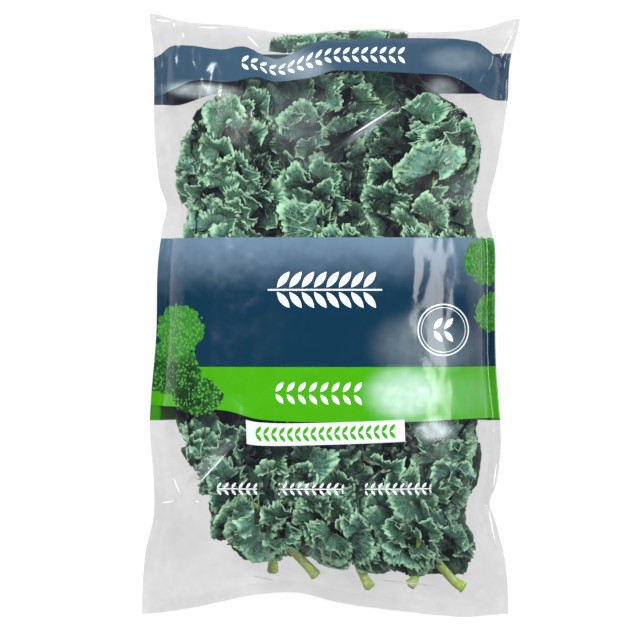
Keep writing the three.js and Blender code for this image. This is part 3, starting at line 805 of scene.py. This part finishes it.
def makeKaleMaterial(mottle):
    made, tree, shader = newMaterial("kaleLeaf")
    look = bladeLook
    place = put(tree, "TexCoord").outputs["Object"]
    uv = put(tree, "SeparateXYZ", {0: put(tree, "UVMap", uv_map="blade").outputs[0]})
    m = times(tree, uv.outputs[0], 2.0)
    out = uv.outputs[1]
    stalk = pointValue(tree, "stalk")
    under = pointValue(tree, "under")
    blotches = placeGroup(tree, mottle, {"Place": place, "Size": 55.0, "Fine": 0.45})[0]
    # Side veins run out from the midrib and fork into a fine net.
    wobble = put(tree, "TexNoise", {"Vector": place, "Scale": 60.0, "Detail": 1.0}).outputs[0]
    veinTurn = math.pi * leafShape["sideVeins"]
    phase = calc(tree, "MULTIPLY_ADD", m, veinTurn, times(tree, wobble, 0.9))
    wave = calc(tree, "ABSOLUTE", calc(tree, "COSINE", phase))
    tint = pointValue(tree, "tint")
    veined = ramp(tree, tint, 1.0, 1.4)
    width = calc(tree, "MULTIPLY_ADD", out, -0.10, calc(tree, "MULTIPLY_ADD", veined, 0.07, 0.17))
    sideVein = calc(tree, "SUBTRACT", 1.0, calc(tree, "DIVIDE", wave, width), clamp=True)
    stretched = put(tree, "CombineXYZ", {0: times(tree, m, 30.0), 1: times(tree, out, 7.0)})
    shift = put(tree, "CombineXYZ", {0: wobble, 1: wobble})
    bent = put(tree, "VectorMath", {0: stretched.outputs[0], 1: shift.outputs[0]}, operation="ADD")
    cells = {"Vector": bent.outputs[0], "Scale": 1.0, "Randomness": 0.9}
    net = put(tree, "TexVoronoi", cells, feature="DISTANCE_TO_EDGE").outputs["Distance"]
    netVein = times(tree, opposite(tree, ramp(tree, net, 0.01, 0.09)), 0.45)
    midrib = opposite(tree, ramp(tree, out, 0.05, 0.12))
    veins = calc(tree, "MAXIMUM", calc(tree, "MAXIMUM", sideVein, netVein), midrib)
    waxy = times(tree, ramp(tree, tint, 0.35, 1.0), ramp(tree, blotches, 0.1, 0.9))
    colour = blendColours(tree, blotches, look["dark"], look["green"])
    colour = blendColours(tree, waxy, colour, look["waxy"])
    # Light margins: partly the leaf's own lighter edge colour, partly painted highlight and painted glow of
    # light through the thin edges.
    margin = ramp(tree, calc(tree, "MULTIPLY_ADD", blotches, 0.14, out), *look["margin"])
    colour = blendColours(tree, times(tree, margin, look["paleLitShare"]), colour, look["paleLit"])
    shown = times(tree, veins, calc(tree, "MULTIPLY_ADD", veined, 0.3, 0.65))
    colour = blendColours(tree, shown, colour, look["vein"])
    colour = blendColours(tree, times(tree, under, look["underShare"]), colour, look["underTint"])
    # Painted shade: the leaves darken to nearly black lower in the heap and towards their midribs, where
    # other leaves would shade them.
    depth = calc(tree, "MULTIPLY_ADD", out, 0.30, pointValue(tree, "depth"))
    gapShade = opposite(tree, ramp(tree, depth, *look["gapShade"]))
    colour = blendColours(tree, times(tree, gapShade, look["gapShadeShare"]), colour, look["paintedShade"])
    stalkColour = blendColours(tree, blotches, look["stalk"], look["stalkPale"])
    colour = blendColours(tree, stalk, colour, stalkColour)
    tree.links.new(colour, shader.inputs["Base Color"])
    rough = calc(tree, "MULTIPLY_ADD", blotches, 0.16, look["roughness"] - 0.08)
    tree.links.new(rough, shader.inputs["Roughness"])
    fine = put(tree, "TexNoise", {"Vector": place, "Scale": 1000.0, "Detail": 1.0}).outputs[0]
    relief = calc(tree, "MULTIPLY_ADD", veins, -0.8, times(tree, fine, 0.35))
    relief = calc(tree, "ADD", relief, times(tree, net, 0.9))
    bump = put(tree, "Bump", {"Height": relief, "Strength": 0.55, "Distance": 0.0009})
    tree.links.new(bump.outputs[0], shader.inputs["Normal"])
    shader.inputs["Specular IOR Level"].default_value = 0.35
    return made


# The film bag, in mm

printSpan = 400.0  # mm of film across the print's UV map
filmShape = {
    "columns": 90,
    "rows": 150,
    "thickness": 0.14,
    "wall": 0.45,  # from the leaves' space to the film's outer face
    "seamHalf": 0.22,  # the same, in the seams
    "least": 0.2,  # the front stays this far outside the leaves' space
    "wallsApart": 0.35,
    "softWave": [34, 46, 1.0],  # length across and along the bag, and height
    "pleats": [15, 55, 0.9, 2.6],  # the same, with the height in the middle and at the ends
    "smallFolds": [9, 19, 0.5, 1.1],
    "backPleats": [15, 40, 1.3],
    "backShift": [7, -1],  # how much lower the back's upper band lies on its left and its right
    # the wavy edges of the upper band: [x, y]
    "bandLow": [
        [-116, 144.3], [-103.7, 148.2], [-88.1, 154], [-64.7, 152.8], [-47.8, 156], [-35.4, 152.8],
        [-9.4, 156], [2.3, 159.9], [63.4, 158], [76.4, 157.3], [85.5, 154], [109.5, 141.7],
    ],
    "bandHigh": [
        [-116, 170.3], [-104.3, 177.1], [-90.7, 177.1], [-70.5, 174.2], [-55.6, 176.2], [-42.6, 169.7],
        [-32.8, 167.7], [-8.1, 179.4], [6.8, 180.7], [41.9, 182], [95.9, 180], [114, 168.7],
    ],
    "greenLow": [[-110, -58], [-68, -61], [-46, -66.8], [-6, -68.6], [50, -68.6], [103, -66.8]],
    # folds: [[x, y], [x, y], height, half width]
    "folds": [
        [[125, 195], [103, 160], 3.2, 5], [[125, 195], [112, 150], 2.6, 4],
        [[109, 160], [115, 142], 3.0, 4], [[97, 181], [85, 152], 2.6, 5], [[103, 183], [116, 168], 2.0, 5],
        [[-118, 194], [-92, 190], 1.6, 4], [[-96, 187], [-92, 165], 1.4, 5],
        [[-44, 176], [-30, 150], 2.4, 6], [[-20, 172], [6, 160], 1.6, 6], [[12, 112], [46, 137], 2.0, 5],
        [[-118, 60], [-101, 84], 2.0, 6], [[104, 68], [88, 90], 2.2, 6], [[92, 82], [80, 62], 1.6, 5],
        [[-95, -110], [-58, -70], 2.6, 6], [[-102, -92], [-92, -115], 1.6, 4],
        [[-115, -122], [-95, -118], 1.8, 4], [[-88, -117], [-66, -116], 1.4, 4],
        [[106, -120], [92, -150], 2.2, 6], [[108, -124], [116, -165], 1.8, 5],
        [[-45, -160], [-15, -168], 1.8, 5], [[-70, -150], [-62, -176], 1.6, 5],
        [[-48, -185], [-40, -195], 1.5, 4], [[60, -182], [84, -190], 1.5, 5],
        [[96, -182], [106, -192], 1.6, 4], [[-20, -150], [-2, -186], 1.6, 7],
        [[18, -172], [40, -176], 1.2, 6], [[112, 120], [108, 20], 1.6, 3],
        [[-112, 130], [-108, 70], 1.6, 3], [[-110, -60], [-112, -150], 1.8, 3],
        [[104, -60], [112, -150], 1.8, 3],
    ],
    # painted glare: whitish patches of reflected light on the film: [x, y, half length, half width, degrees,
    # strength]
    "paintedGlare": [
        [67, -74, 15, 8, 0, 0.95], [-19, 124, 24, 34, 20, 0.30], [28, 124, 26, 4, 36, 0.62],
        [-78, -95, 26, 5, 44, 0.42], [86, 82, 14, 12, 60, 0.36], [-22, 163, 26, 13, -20, 0.24],
        [49, -50, 25, 18, 0, 0.95], [84, 168, 22, 9, 0, 0.14], [84, -52, 22, 16, 0, 0.12],
        [62, -20, 34, 22, 0, 0.22], [-82, 147, 28, 6, -4, 0.85], [74, 148, 13, 9, -10, 0.50],
        [-10, -160, 16, 20, 30, 0.22], [-48, -160, 16, 18, 0, 0.20],
    ],
}


def ridged(x, y, scaleX, scaleY, offset):  # sharp-crested noise, 0 to 1
    values = [1 - 2 * abs(noise.noise(Vector((a / scaleX, b / scaleY, offset)))) for a, b in zip(x, y)]
    return np.clip(np.array(values), 0, 1)


def foldWave(x, y, fold):  # a crease with a sharp crest that fades at both ends
    (x1, y1), (x2, y2), height, width = fold
    length = math.hypot(x2 - x1, y2 - y1)
    ahead = ((x - x1) * (x2 - x1) + (y - y1) * (y2 - y1)) / length
    aside = ((x - x1) * (y2 - y1) - (y - y1) * (x2 - x1)) / length
    ends = smooth(ahead, -0.35 * length, 0.15 * length) * (1 - smooth(ahead, 0.8 * length, 1.35 * length))
    return height * np.exp(-np.abs(aside) / width) * ends


# Painted glare: how strongly each place on the film shows a painted patch of reflected light.
def paintedGlareAt(x, y):
    total = np.zeros(len(x))
    for middleX, middleY, halfLength, halfWidth, lean, strength in filmShape["paintedGlare"]:
        c, s = math.cos(math.radians(lean)), math.sin(math.radians(lean))
        ahead = ((x - middleX) * c + (y - middleY) * s) / halfLength
        aside = ((y - middleY) * c - (x - middleX) * s) / halfWidth
        total = np.maximum(total, strength * (1 - smooth(np.hypot(ahead, aside), 0.35, 1.25)))
    return total


def frontWrinkles(x, y, v):
    shape = filmShape
    wide, long, softHeight = shape["softWave"]
    soft = np.array([noise.noise(Vector((a / wide, b / long, 3.1))) for a, b in zip(x, y)])
    wide, long, *pleatHeight = shape["pleats"]
    pleats = ridged(x, y, wide, long, 7.7) ** 3
    wide, long, *smallHeight = shape["smallFolds"]
    small = ridged(x, y, wide, long, 1.9) ** 2
    atEnds = smooth(np.abs(v), 0.55, 1)
    folds = sum(foldWave(x, y, fold) for fold in shape["folds"])
    return softHeight * soft + mix(*pleatHeight, atEnds) * pleats + mix(*smallHeight, atEnds) * small + folds


def printHeight(x, y):  # where the flat film's print lies: its bands are straight there
    low, high = through(filmShape["bandLow"])(x), through(filmShape["bandHigh"])(x)
    lowPrint, highPrint = printShape["top"]
    inBand = lowPrint + (highPrint - lowPrint) * (y - low) / (high - low)
    under = y - (low - lowPrint) * smooth(y, low - 75, low)
    upper = np.where(y < low, under, np.where(y > high, y - high + highPrint, inBand))
    greenLow = through(filmShape["greenLow"])(x)
    near = smooth(y, -110, -66) * (1 - smooth(y, -64, -36))
    return upper - (greenLow - printShape["green"][0]) * near


def makeWall(name, x, y, z, printY, backWall):
    wall = newGrid(name, filmShape["columns"], filmShape["rows"])
    placeVertices(wall, toFrame(x, y, z))
    setUv(wall, "print", np.stack([x, printY], axis=-1) / printSpan + 0.5)
    addFloats(wall, "backWall", np.full(len(x), backWall))
    addFloats(wall, "paintedGlare", np.zeros(len(x)) if backWall else paintedGlareAt(x, y))
    return wall


def bridgeWalls(piece, columns, rows):  # joins the two walls along the side seams and the sealed end
    mesh = bmesh.new()
    mesh.from_mesh(piece.data)
    mesh.verts.ensure_lookup_table()
    count = (columns + 1) * (rows + 1)
    border = [row * (columns + 1) for row in range(rows, -1, -1)]
    border += list(range(1, columns + 1))
    border += [row * (columns + 1) + columns for row in range(1, rows + 1)]
    uvLayer = mesh.loops.layers.uv["print"]
    for a, b in zip(border, border[1:]):
        face = mesh.faces.new([mesh.verts[k] for k in (a, b, b + count, a + count)])
        for corner, k in zip(face.loops, (a, b, b, a)):
            corner[uvLayer].uv = mesh.verts[k].link_loops[0][uvLayer].uv
    bmesh.ops.recalc_face_normals(mesh, faces=mesh.faces)
    mesh.to_mesh(piece.data)
    mesh.free()


def makeBag():
    shape = filmShape
    columns, rows = shape["columns"], shape["rows"]
    us = -np.cos(np.linspace(0, math.pi, columns + 1))
    us = mix(us, np.linspace(-1, 1, columns + 1), 0.35)
    vs = -np.cos(np.linspace(0, math.pi, rows + 1))
    vs = mix(vs, np.linspace(-1, 1, rows + 1), 0.7)
    u, v = np.meshgrid(us, vs)
    u, v = u.ravel(), v.ravel()
    x, y = bagPlan(u, v)
    low, high = cavity(u, v)
    full = fullness(u, v)
    offset = mix(shape["seamHalf"], shape["wall"], smooth(full, 0, 0.3))
    seamRoom = smooth(1 - np.abs(u), 0, 0.05)
    wrinkles = frontWrinkles(x, y, v)
    pleats = wrinkles * (0.3 + 0.7 * seamRoom)
    frontHeight = np.maximum(high + offset + pleats, high + shape["least"])
    piece = makeWall("printed_film_bag", x, y, frontHeight, printHeight(x, y), 0)
    wide, long, height = shape["backPleats"]
    backWrinkles = height * ridged(x, y, wide, long, 12.3) ** 3 * seamRoom * smooth(v + 1, 0.02, 0.1)
    lifted = np.where(seamRoom < 1, pleats * (1 - seamRoom), 0) + backWrinkles
    backHeight = np.minimum(low - offset + lifted, high + offset + pleats - shape["wallsApart"])
    backShift = mix(*shape["backShift"], smooth(x, -104, -72)) * smooth(y, 60, 130)
    back = makeWall("filmBack", x, y, backHeight, y + backShift, 1)
    editAll(back, bpy.ops.mesh.flip_normals)
    joinAll([piece, back])
    bridgeWalls(piece, columns, rows)
    thicken(piece, shape["thickness"], -1)
    bpy.ops.object.shade_smooth()
    return piece


filmLook = {
    "clear": (0.044, 0.034, 0.062, 1),
    "glare": (0.66, 0.80, 0.80, 1),
    "glareOnColour": 0.85,
    # where the faces get the printed material: [low x, high x, low y, high y]
    "printAreas": [
        [-200, 200, -71, 53], [-200, 200, 144, 174], [-57, 52, -88, -65], [-76, 68, -117, -107],
        [-130, -76, -80, 12], [84, 130, -16, 56],
    ],
    "navy": (0.001, 0.025, 0.055, 1),
    "navyGlare": (0.125, 0.20, 0.28, 1),
    "green": (0.045, 0.31, 0.001, 1),
    "strip": (0.62, 0.66, 0.78, 1),
    "white": (0.80, 0.84, 0.90, 1),
    "foliageDark": (0.003, 0.030, 0.008, 1),
    "foliage": (0.030, 0.170, 0.022, 1),
    "foliageLight": (0.20, 0.50, 0.10, 1),
    "foliageUpper": (0.060, 0.34, 0.040, 1),
    "glint": (0.95, 0.96, 0.98, 1),
    "glintHalfWidth": 0.75,
    # the glints' ends, in mm: [x, y, x, y]
    "glints": [
        [-117, 195.5, -102, 193.5], [-102.5, 194, -101.8, 189.5], [-91, 189.8, -68, 189],
        [-96.6, 187, -95.3, 181.5], [-56, 186, -44, 173], [125, 195, 109, 161.5],
        [109, 161.5, 115.4, 141.5], [-103.7, -101.4, -96, -119.6], [-114.8, -124.2, -97.2, -119.6],
        [-89.4, -120.3, -82.9, -120.9], [-51.7, -169.7, -34.2, -174.2], [-71.9, -184.6, -68.6, -189.2],
        [10, 114.4, 45.8, 137.2], [-88.8, -113, -63.4, -85.2], [103, -117.6, 110.8, -158.6],
        [110.8, -90.4, 107, -119], [28.3, -171.6, 71.8, -177],
    ],
    "clearAlpha": 0.088,
    # the printed foliage's round heads: [x, y, radius]
    "heads": [[-98, -9, 16], [-104, -37, 20], [-86, -57, 17], [103, 36, 15], [108, 3, 13]],
}
rowLabels = ["Start", "End", "Middle", "Step", "Length", "Width", "Offset"]
printShape = {  # on the flat film
    # the bands: [low y, high y]
    "navy": [-33, 51],
    "green": [-68.5, -33],
    "top": [146, 172],
    "strip": {"middle": [-2.6, -76.0], "lean": 2.2, "half": [51.4, 7.2]},
    "ring": {"middle": [74.0, -9.0], "outer": [16.2, 17.0], "inner": [14.3, 14.7]},
    "stem": [-40.0, 34.0],
    "groups": [[-73.0, -47.0], [-33.0, 9.0], [23.0, 66.0]],  # the parts of the row on the clear film
    # rows of small leaves, with what each of rowLabels is
    "stripRow": [-46.0, 46.0, 0.0, 5.1, 6.4, 2.4, 2.3],
    "rows": {
        "green": [-36.0, 22.0, -50.0, 7.25, 8.0, 3.2, 4.0],
        "navy": [-34.0, 30.0, 17.0, 8.0, 13.0, 4.6, 6.6],
        "clear": [-74.0, 68.0, -112.0, 4.75, 4.6, 1.7, 2.3],
        "ring": [67.0, 81.0, -9.0, 7.0, 9.0, 3.6, 4.2],
        "top": [-58.0, 50.0, 159.0, 6.0, 7.0, 2.7, 3.4],
    },
}


def makeLeafRow():  # a row of printed leaf shapes, in pairs either side of its middle
    inputs = [(label, "Float", 1.0) for label in ["X", "Y", *rowLabels]]
    group, given, wanted = newGroup("leafRow", inputs, [("Mask", "Float")])
    x = calc(group, "SUBTRACT", given["X"], given["Start"])
    y = calc(group, "ABSOLUTE", calc(group, "SUBTRACT", given["Y"], given["Middle"]))
    cell = calc(group, "MODULO", x, given["Step"])
    cell = calc(group, "SUBTRACT", cell, times(group, given["Step"], 0.5))
    up = calc(group, "SUBTRACT", y, given["Offset"])
    c, s = math.cos(math.radians(52)), math.sin(math.radians(52))
    ahead = calc(group, "MULTIPLY_ADD", cell, c, times(group, up, s))
    aside = calc(group, "MULTIPLY_ADD", up, c, times(group, cell, -s))
    half = calc(group, "DIVIDE", ahead, times(group, given["Length"], 0.5))
    room = opposite(group, times(group, half, half))
    halfWidth = times(group, room, times(group, given["Width"], 0.5))
    inside = ramp(group, calc(group, "SUBTRACT", halfWidth, calc(group, "ABSOLUTE", aside)), -0.12, 0.12)
    started = calc(group, "GREATER_THAN", given["X"], given["Start"])
    ended = calc(group, "LESS_THAN", given["X"], given["End"])
    mask = times(group, times(group, inside, started), ended)
    group.links.new(mask, wanted["Mask"])
    return group


def makeFilmMaterial(name, mottle, leafRow):  # without leafRow, the film is clear
    made, tree, shader = newMaterial(name)
    look = filmLook
    place = put(tree, "TexCoord").outputs["Object"]
    # Painted glare: whitish patches of reflected light, which also make the film less clear there.
    paintedGlare = pointValue(tree, "paintedGlare")
    blotches = placeGroup(tree, mottle, {"Place": place, "Size": 22.0, "Fine": 0.3})[0]
    glare = times(tree, paintedGlare, calc(tree, "MULTIPLY_ADD", blotches, 0.5, 0.6))
    alpha = calc(tree, "MULTIPLY_ADD", blotches, 0.03, look["clearAlpha"] - 0.015)
    alpha = calc(tree, "MAXIMUM", alpha, times(tree, glare, 0.62))
    colour = look["clear"]
    frontOnly = opposite(tree, pointValue(tree, "backWall"))
    if leafRow:
        colour, marked = drawPrint(tree, leafRow, place, blotches, frontOnly)
        alpha = calc(tree, "MAXIMUM", alpha, marked)
    else:
        marked = times(tree, drawGlints(tree, place), frontOnly)
        alpha = calc(tree, "MAXIMUM", alpha, times(tree, marked, 0.8))
        colour = blendColours(tree, marked, colour, look["glint"])
    colour = blendColours(tree, times(tree, glare, look["glareOnColour"]), colour, look["glare"])
    tree.links.new(colour, shader.inputs["Base Color"])
    tree.links.new(alpha, shader.inputs["Alpha"])
    bump = put(tree, "Bump", {"Height": blotches, "Strength": 0.2, "Distance": 0.001})
    tree.links.new(bump.outputs[0], shader.inputs["Normal"])
    rough = calc(tree, "MULTIPLY_ADD", blotches, 0.12, 0.14)
    tree.links.new(rough, shader.inputs["Roughness"])
    shader.inputs["Specular IOR Level"].default_value = 0.20
    shader.inputs["Coat Weight"].default_value = 0.10
    shader.inputs["Coat Roughness"].default_value = 0.05
    return made


def drawGlints(tree, place):  # thin pointed lines of light on the sharpest folds
    nearest = None
    for x1, y1, x2, y2 in filmLook["glints"]:
        middle = toFrame((x1 + x2) / 2, (y1 + y2) / 2, 0)
        size = (math.hypot(x2 - x1, y2 - y1) / 2 * toMetres, filmLook["glintHalfWidth"] * toMetres, 1.0)
        lean = (0.0, 0.0, math.atan2(y2 - y1, x2 - x1))
        inputs = {"Vector": place, "Location": tuple(middle), "Rotation": lean, "Scale": size}
        line = put(tree, "Mapping", inputs, vector_type="TEXTURE")
        away = put(tree, "VectorMath", {0: line.outputs[0]}, operation="LENGTH").outputs["Value"]
        nearest = away if nearest is None else calc(tree, "MINIMUM", nearest, away)
    return opposite(tree, ramp(tree, nearest, 0.35, 1.0))


def drawFoliage(tree, place, x, y):  # printed foliage: rounded heads with a curled texture
    look = filmLook
    edgeNoise = put(tree, "TexNoise", {"Vector": place, "Scale": 300.0, "Detail": 0.0}).outputs[0]
    wobble = calc(tree, "MULTIPLY_ADD", edgeNoise, 6.0, -3.0)
    insides = []
    for middleX, middleY, radius in look["heads"]:
        away = distanceTo(tree, x, y, float(middleX), float(middleY))
        insides.append(calc(tree, "SUBTRACT", calc(tree, "ADD", wobble, float(radius)), away))
    curls = put(tree, "TexVoronoi", {"Vector": place, "Scale": 480.0, "Randomness": 1.0}).outputs["Distance"]
    tone = put(tree, "TexNoise", {"Vector": place, "Scale": 80.0, "Detail": 2.0, "Roughness": 0.7}).outputs[0]
    upperHeads = ramp(tree, y, -34.0, -20.0)
    tone = calc(tree, "MULTIPLY_ADD", upperHeads, 0.12, tone)
    crest = times(tree, opposite(tree, ramp(tree, curls, 0.10, 0.42)), 0.6)
    furrow = times(tree, ramp(tree, curls, 0.42, 0.70), 0.8)
    colour = blendColours(tree, ramp(tree, tone, 0.36, 0.62), look["foliageDark"], look["foliage"])
    colour = blendColours(tree, crest, colour, look["foliageLight"])
    colour = blendColours(tree, furrow, colour, look["foliageDark"])
    colour = blendColours(tree, times(tree, upperHeads, 0.35), colour, look["foliageUpper"])
    return ramp(tree, most(tree, *insides), -0.2, 0.3), colour


def drawMarks(tree, leafRow, x, y):  # white marks: a sprig on the navy band, a ring, and rows of small leaves
    onNavy = calc(tree, "GREATER_THAN", y, -30.0)
    onTop = calc(tree, "GREATER_THAN", y, 100.0)
    onClear = calc(tree, "LESS_THAN", y, -80.0)
    atRing = times(tree, calc(tree, "GREATER_THAN", x, 60.0), onNavy)

    def choose(value, *others):  # in the order of the rows in printShape
        for place, other in zip((onNavy, onClear, atRing, onTop), others):
            value = put(tree, "Mix", {0: place, 2: value, 3: other}, data_type="FLOAT").outputs[0]
        return value

    # One row of leaves serves all these places.
    measures = dict(zip(rowLabels, [choose(*values) for values in zip(*printShape["rows"].values())]))
    leavesHere = placeGroup(tree, leafRow, {"X": x, "Y": y, **measures})[0]
    groups = most(tree, *[band(tree, x, low, high) for low, high in printShape["groups"]])
    away = calc(tree, "ABSOLUTE", calc(tree, "SUBTRACT", y, measures["Middle"]))
    sprig = calc(tree, "SUBTRACT", onNavy, onTop)
    line = times(tree, sprig, ramp(tree, away, 0.6, 0.4))
    stem = times(tree, band(tree, x, *printShape["stem"]), line)
    lowStem = times(tree, times(tree, groups, onClear), ramp(tree, away, 0.42, 0.22))
    ring = printShape["ring"]
    ringAway = distanceTo(tree, x, y, *ring["middle"])
    rings = [band(tree, ringAway, *ring[key], 0.1) for key in ("outer", "inner")]
    shown = most(tree, opposite(tree, onClear), groups)
    return most(tree, stem, lowStem, *rings, times(tree, leavesHere, shown))


def drawPrint(tree, leafRow, place, blotches, frontOnly):  # the print's colours, and where there is any
    look, shape = filmLook, printShape
    uv = put(tree, "SeparateXYZ", {0: put(tree, "UVMap", uv_map="print").outputs[0]})
    x, y = [calc(tree, "MULTIPLY_ADD", uv.outputs[k], printSpan, -printSpan / 2) for k in (0, 1)]
    navy = most(tree, band(tree, y, *shape["navy"]), band(tree, y, *shape["top"]))
    green = band(tree, y, *shape["green"])
    lean = math.radians(shape["strip"]["lean"])
    dx, dy = [calc(tree, "SUBTRACT", a, middle) for a, middle in zip((x, y), shape["strip"]["middle"])]
    stripX = calc(tree, "MULTIPLY_ADD", dx, math.cos(lean), times(tree, dy, math.sin(lean)))
    stripY = calc(tree, "MULTIPLY_ADD", dy, math.cos(lean), times(tree, dx, -math.sin(lean)))
    halfX, halfY = shape["strip"]["half"]
    strip = times(tree, band(tree, stripX, -halfX, halfX), band(tree, stripY, -halfY, halfY))
    strip = times(tree, strip, frontOnly)
    stripRow = dict(zip(rowLabels, shape["stripRow"]))
    onStrip = placeGroup(tree, leafRow, {"X": stripX, "Y": stripY, **stripRow})[0]
    onStrip = times(tree, onStrip, strip)
    foliage, leafy = drawFoliage(tree, place, x, y)
    foliage = times(tree, foliage, frontOnly)
    white = times(tree, drawMarks(tree, leafRow, x, y), frontOnly)
    # Painted reflection: the navy is lighter towards its upper edge, less on the top band.
    fade = times(tree, ramp(tree, calc(tree, "MULTIPLY_ADD", blotches, 9.0, y), 14.0, 60.0), 0.9)
    lower = calc(tree, "LESS_THAN", y, 100.0)
    fade = times(tree, fade, calc(tree, "MULTIPLY_ADD", lower, 0.75, 0.25))
    colour = blendColours(tree, fade, look["navy"], look["navyGlare"])
    colour = blendColours(tree, navy, look["clear"], colour)
    colour = blendColours(tree, green, colour, look["green"])
    colour = blendColours(tree, foliage, colour, leafy)
    colour = blendColours(tree, strip, colour, look["strip"])
    colour = blendColours(tree, onStrip, colour, look["green"])
    colour = blendColours(tree, white, colour, look["white"])
    return colour, most(tree, navy, green, foliage, strip, white)


def assignFilm(piece, clear, printed):  # faces near any print get the printed material
    piece.data.materials.clear()
    piece.data.materials.append(clear)
    piece.data.materials.append(printed)
    corners = piece.data.uv_layers["print"].data
    places = np.empty(len(corners) * 2, np.float32)
    corners.foreach_get("uv", places)
    places = places.reshape(-1, 2) * printSpan - printSpan / 2
    starts = np.empty(len(piece.data.polygons), np.int32)
    piece.data.polygons.foreach_get("loop_start", starts)
    x, y = np.minimum.reduceat(places, starts).T
    farX, farY = np.maximum.reduceat(places, starts).T
    isPrinted = np.zeros(len(starts), bool)
    for lowX, highX, lowY, highY in filmLook["printAreas"]:
        isPrinted |= (farX > lowX) & (x < highX) & (farY > lowY) & (y < highY)
    piece.data.polygons.foreach_set("material_index", isPrinted.astype(np.int32))


# The studio, in metres

studio = {
    "centre": (-0.0073, -0.0031),
    "width": 0.416,
    "focus": 0.052,  # the height at which the view is as wide as that
    "distance": 3.0,
    "world": 0.29,
    "floorColour": (0.12, 0.12, 0.12, 1),
    "floorGlow": 0.88,
    "lights": [
        # name, place, size, watts
        ("softboxLeft", (-0.9, 0.8, 1.3), 0.5, 35),
        ("softboxRight", (1.2, 0.1, 1.0), 0.6, 18),
        ("glint", (0.15, 0.9, 1.6), 0.25, 3),
    ],
}


def makeStudio():
    look = studio
    bpy.ops.mesh.primitive_plane_add(size=6, location=(0, 0, 0))
    floor = bpy.context.object
    floor.name = "floor"
    floor.data.name = "floor"
    made, tree, shader = newMaterial("floorPaper")
    shader.inputs["Base Color"].default_value = look["floorColour"]
    shader.inputs["Roughness"].default_value = 0.9
    shader.inputs["Emission Color"].default_value = (1, 1, 1, 1)
    shader.inputs["Emission Strength"].default_value = look["floorGlow"]
    floor.data.materials.append(made)
    for name, place, size, watts in look["lights"]:
        light = bpy.data.lights.new(name, "AREA")
        light.size = size
        light.energy = watts
        holder = bpy.data.objects.new(name, light)
        holder.location = place
        holder.rotation_euler = (Vector((0, 0, 0.03)) - Vector(place)).to_track_quat("-Z", "Y").to_euler()
        scene.collection.objects.link(holder)
    world = bpy.data.worlds.new("studioAir")
    world.use_nodes = True
    world.node_tree.nodes["Background"].inputs[0].default_value = (1, 1, 1, 1)
    world.node_tree.nodes["Background"].inputs[1].default_value = look["world"]
    scene.world = world
    camera = bpy.data.cameras.new("camera")
    camera.lens = camera.sensor_width * look["distance"] / look["width"]
    camera.clip_end = 50
    holder = bpy.data.objects.new("camera", camera)
    holder.location = (*look["centre"], look["focus"] + look["distance"])
    scene.collection.objects.link(holder)
    scene.camera = holder
    scene.view_settings.view_transform = "Standard"
    scene.cycles.transparent_max_bounces = 20
    scene.cycles.max_bounces = 6
    scene.cycles.diffuse_bounces = 3
    scene.cycles.glossy_bounces = 2


makeStudio()
print("studio ready")
mottle = makeMottle()
kaleMaterial = makeKaleMaterial(mottle)
for one in leaves:
    leafPiece = makeLeaf(one)
    leafPiece.data.materials.clear()
    leafPiece.data.materials.append(kaleMaterial)
    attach(leafPiece, "root")
    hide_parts("leaf_" + one["name"])
    print("leaf", one["name"], len(leafPiece.data.polygons), "faces")
bag = makeBag()
clearFilm = makeFilmMaterial("clearFilm", mottle, None)
printedFilm = makeFilmMaterial("printedFilm", mottle, makeLeafRow())
assignFilm(bag, clearFilm, printedFilm)
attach(bag, "root")
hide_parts("film_bag")
print("film bag", len(bag.data.polygons), "faces")
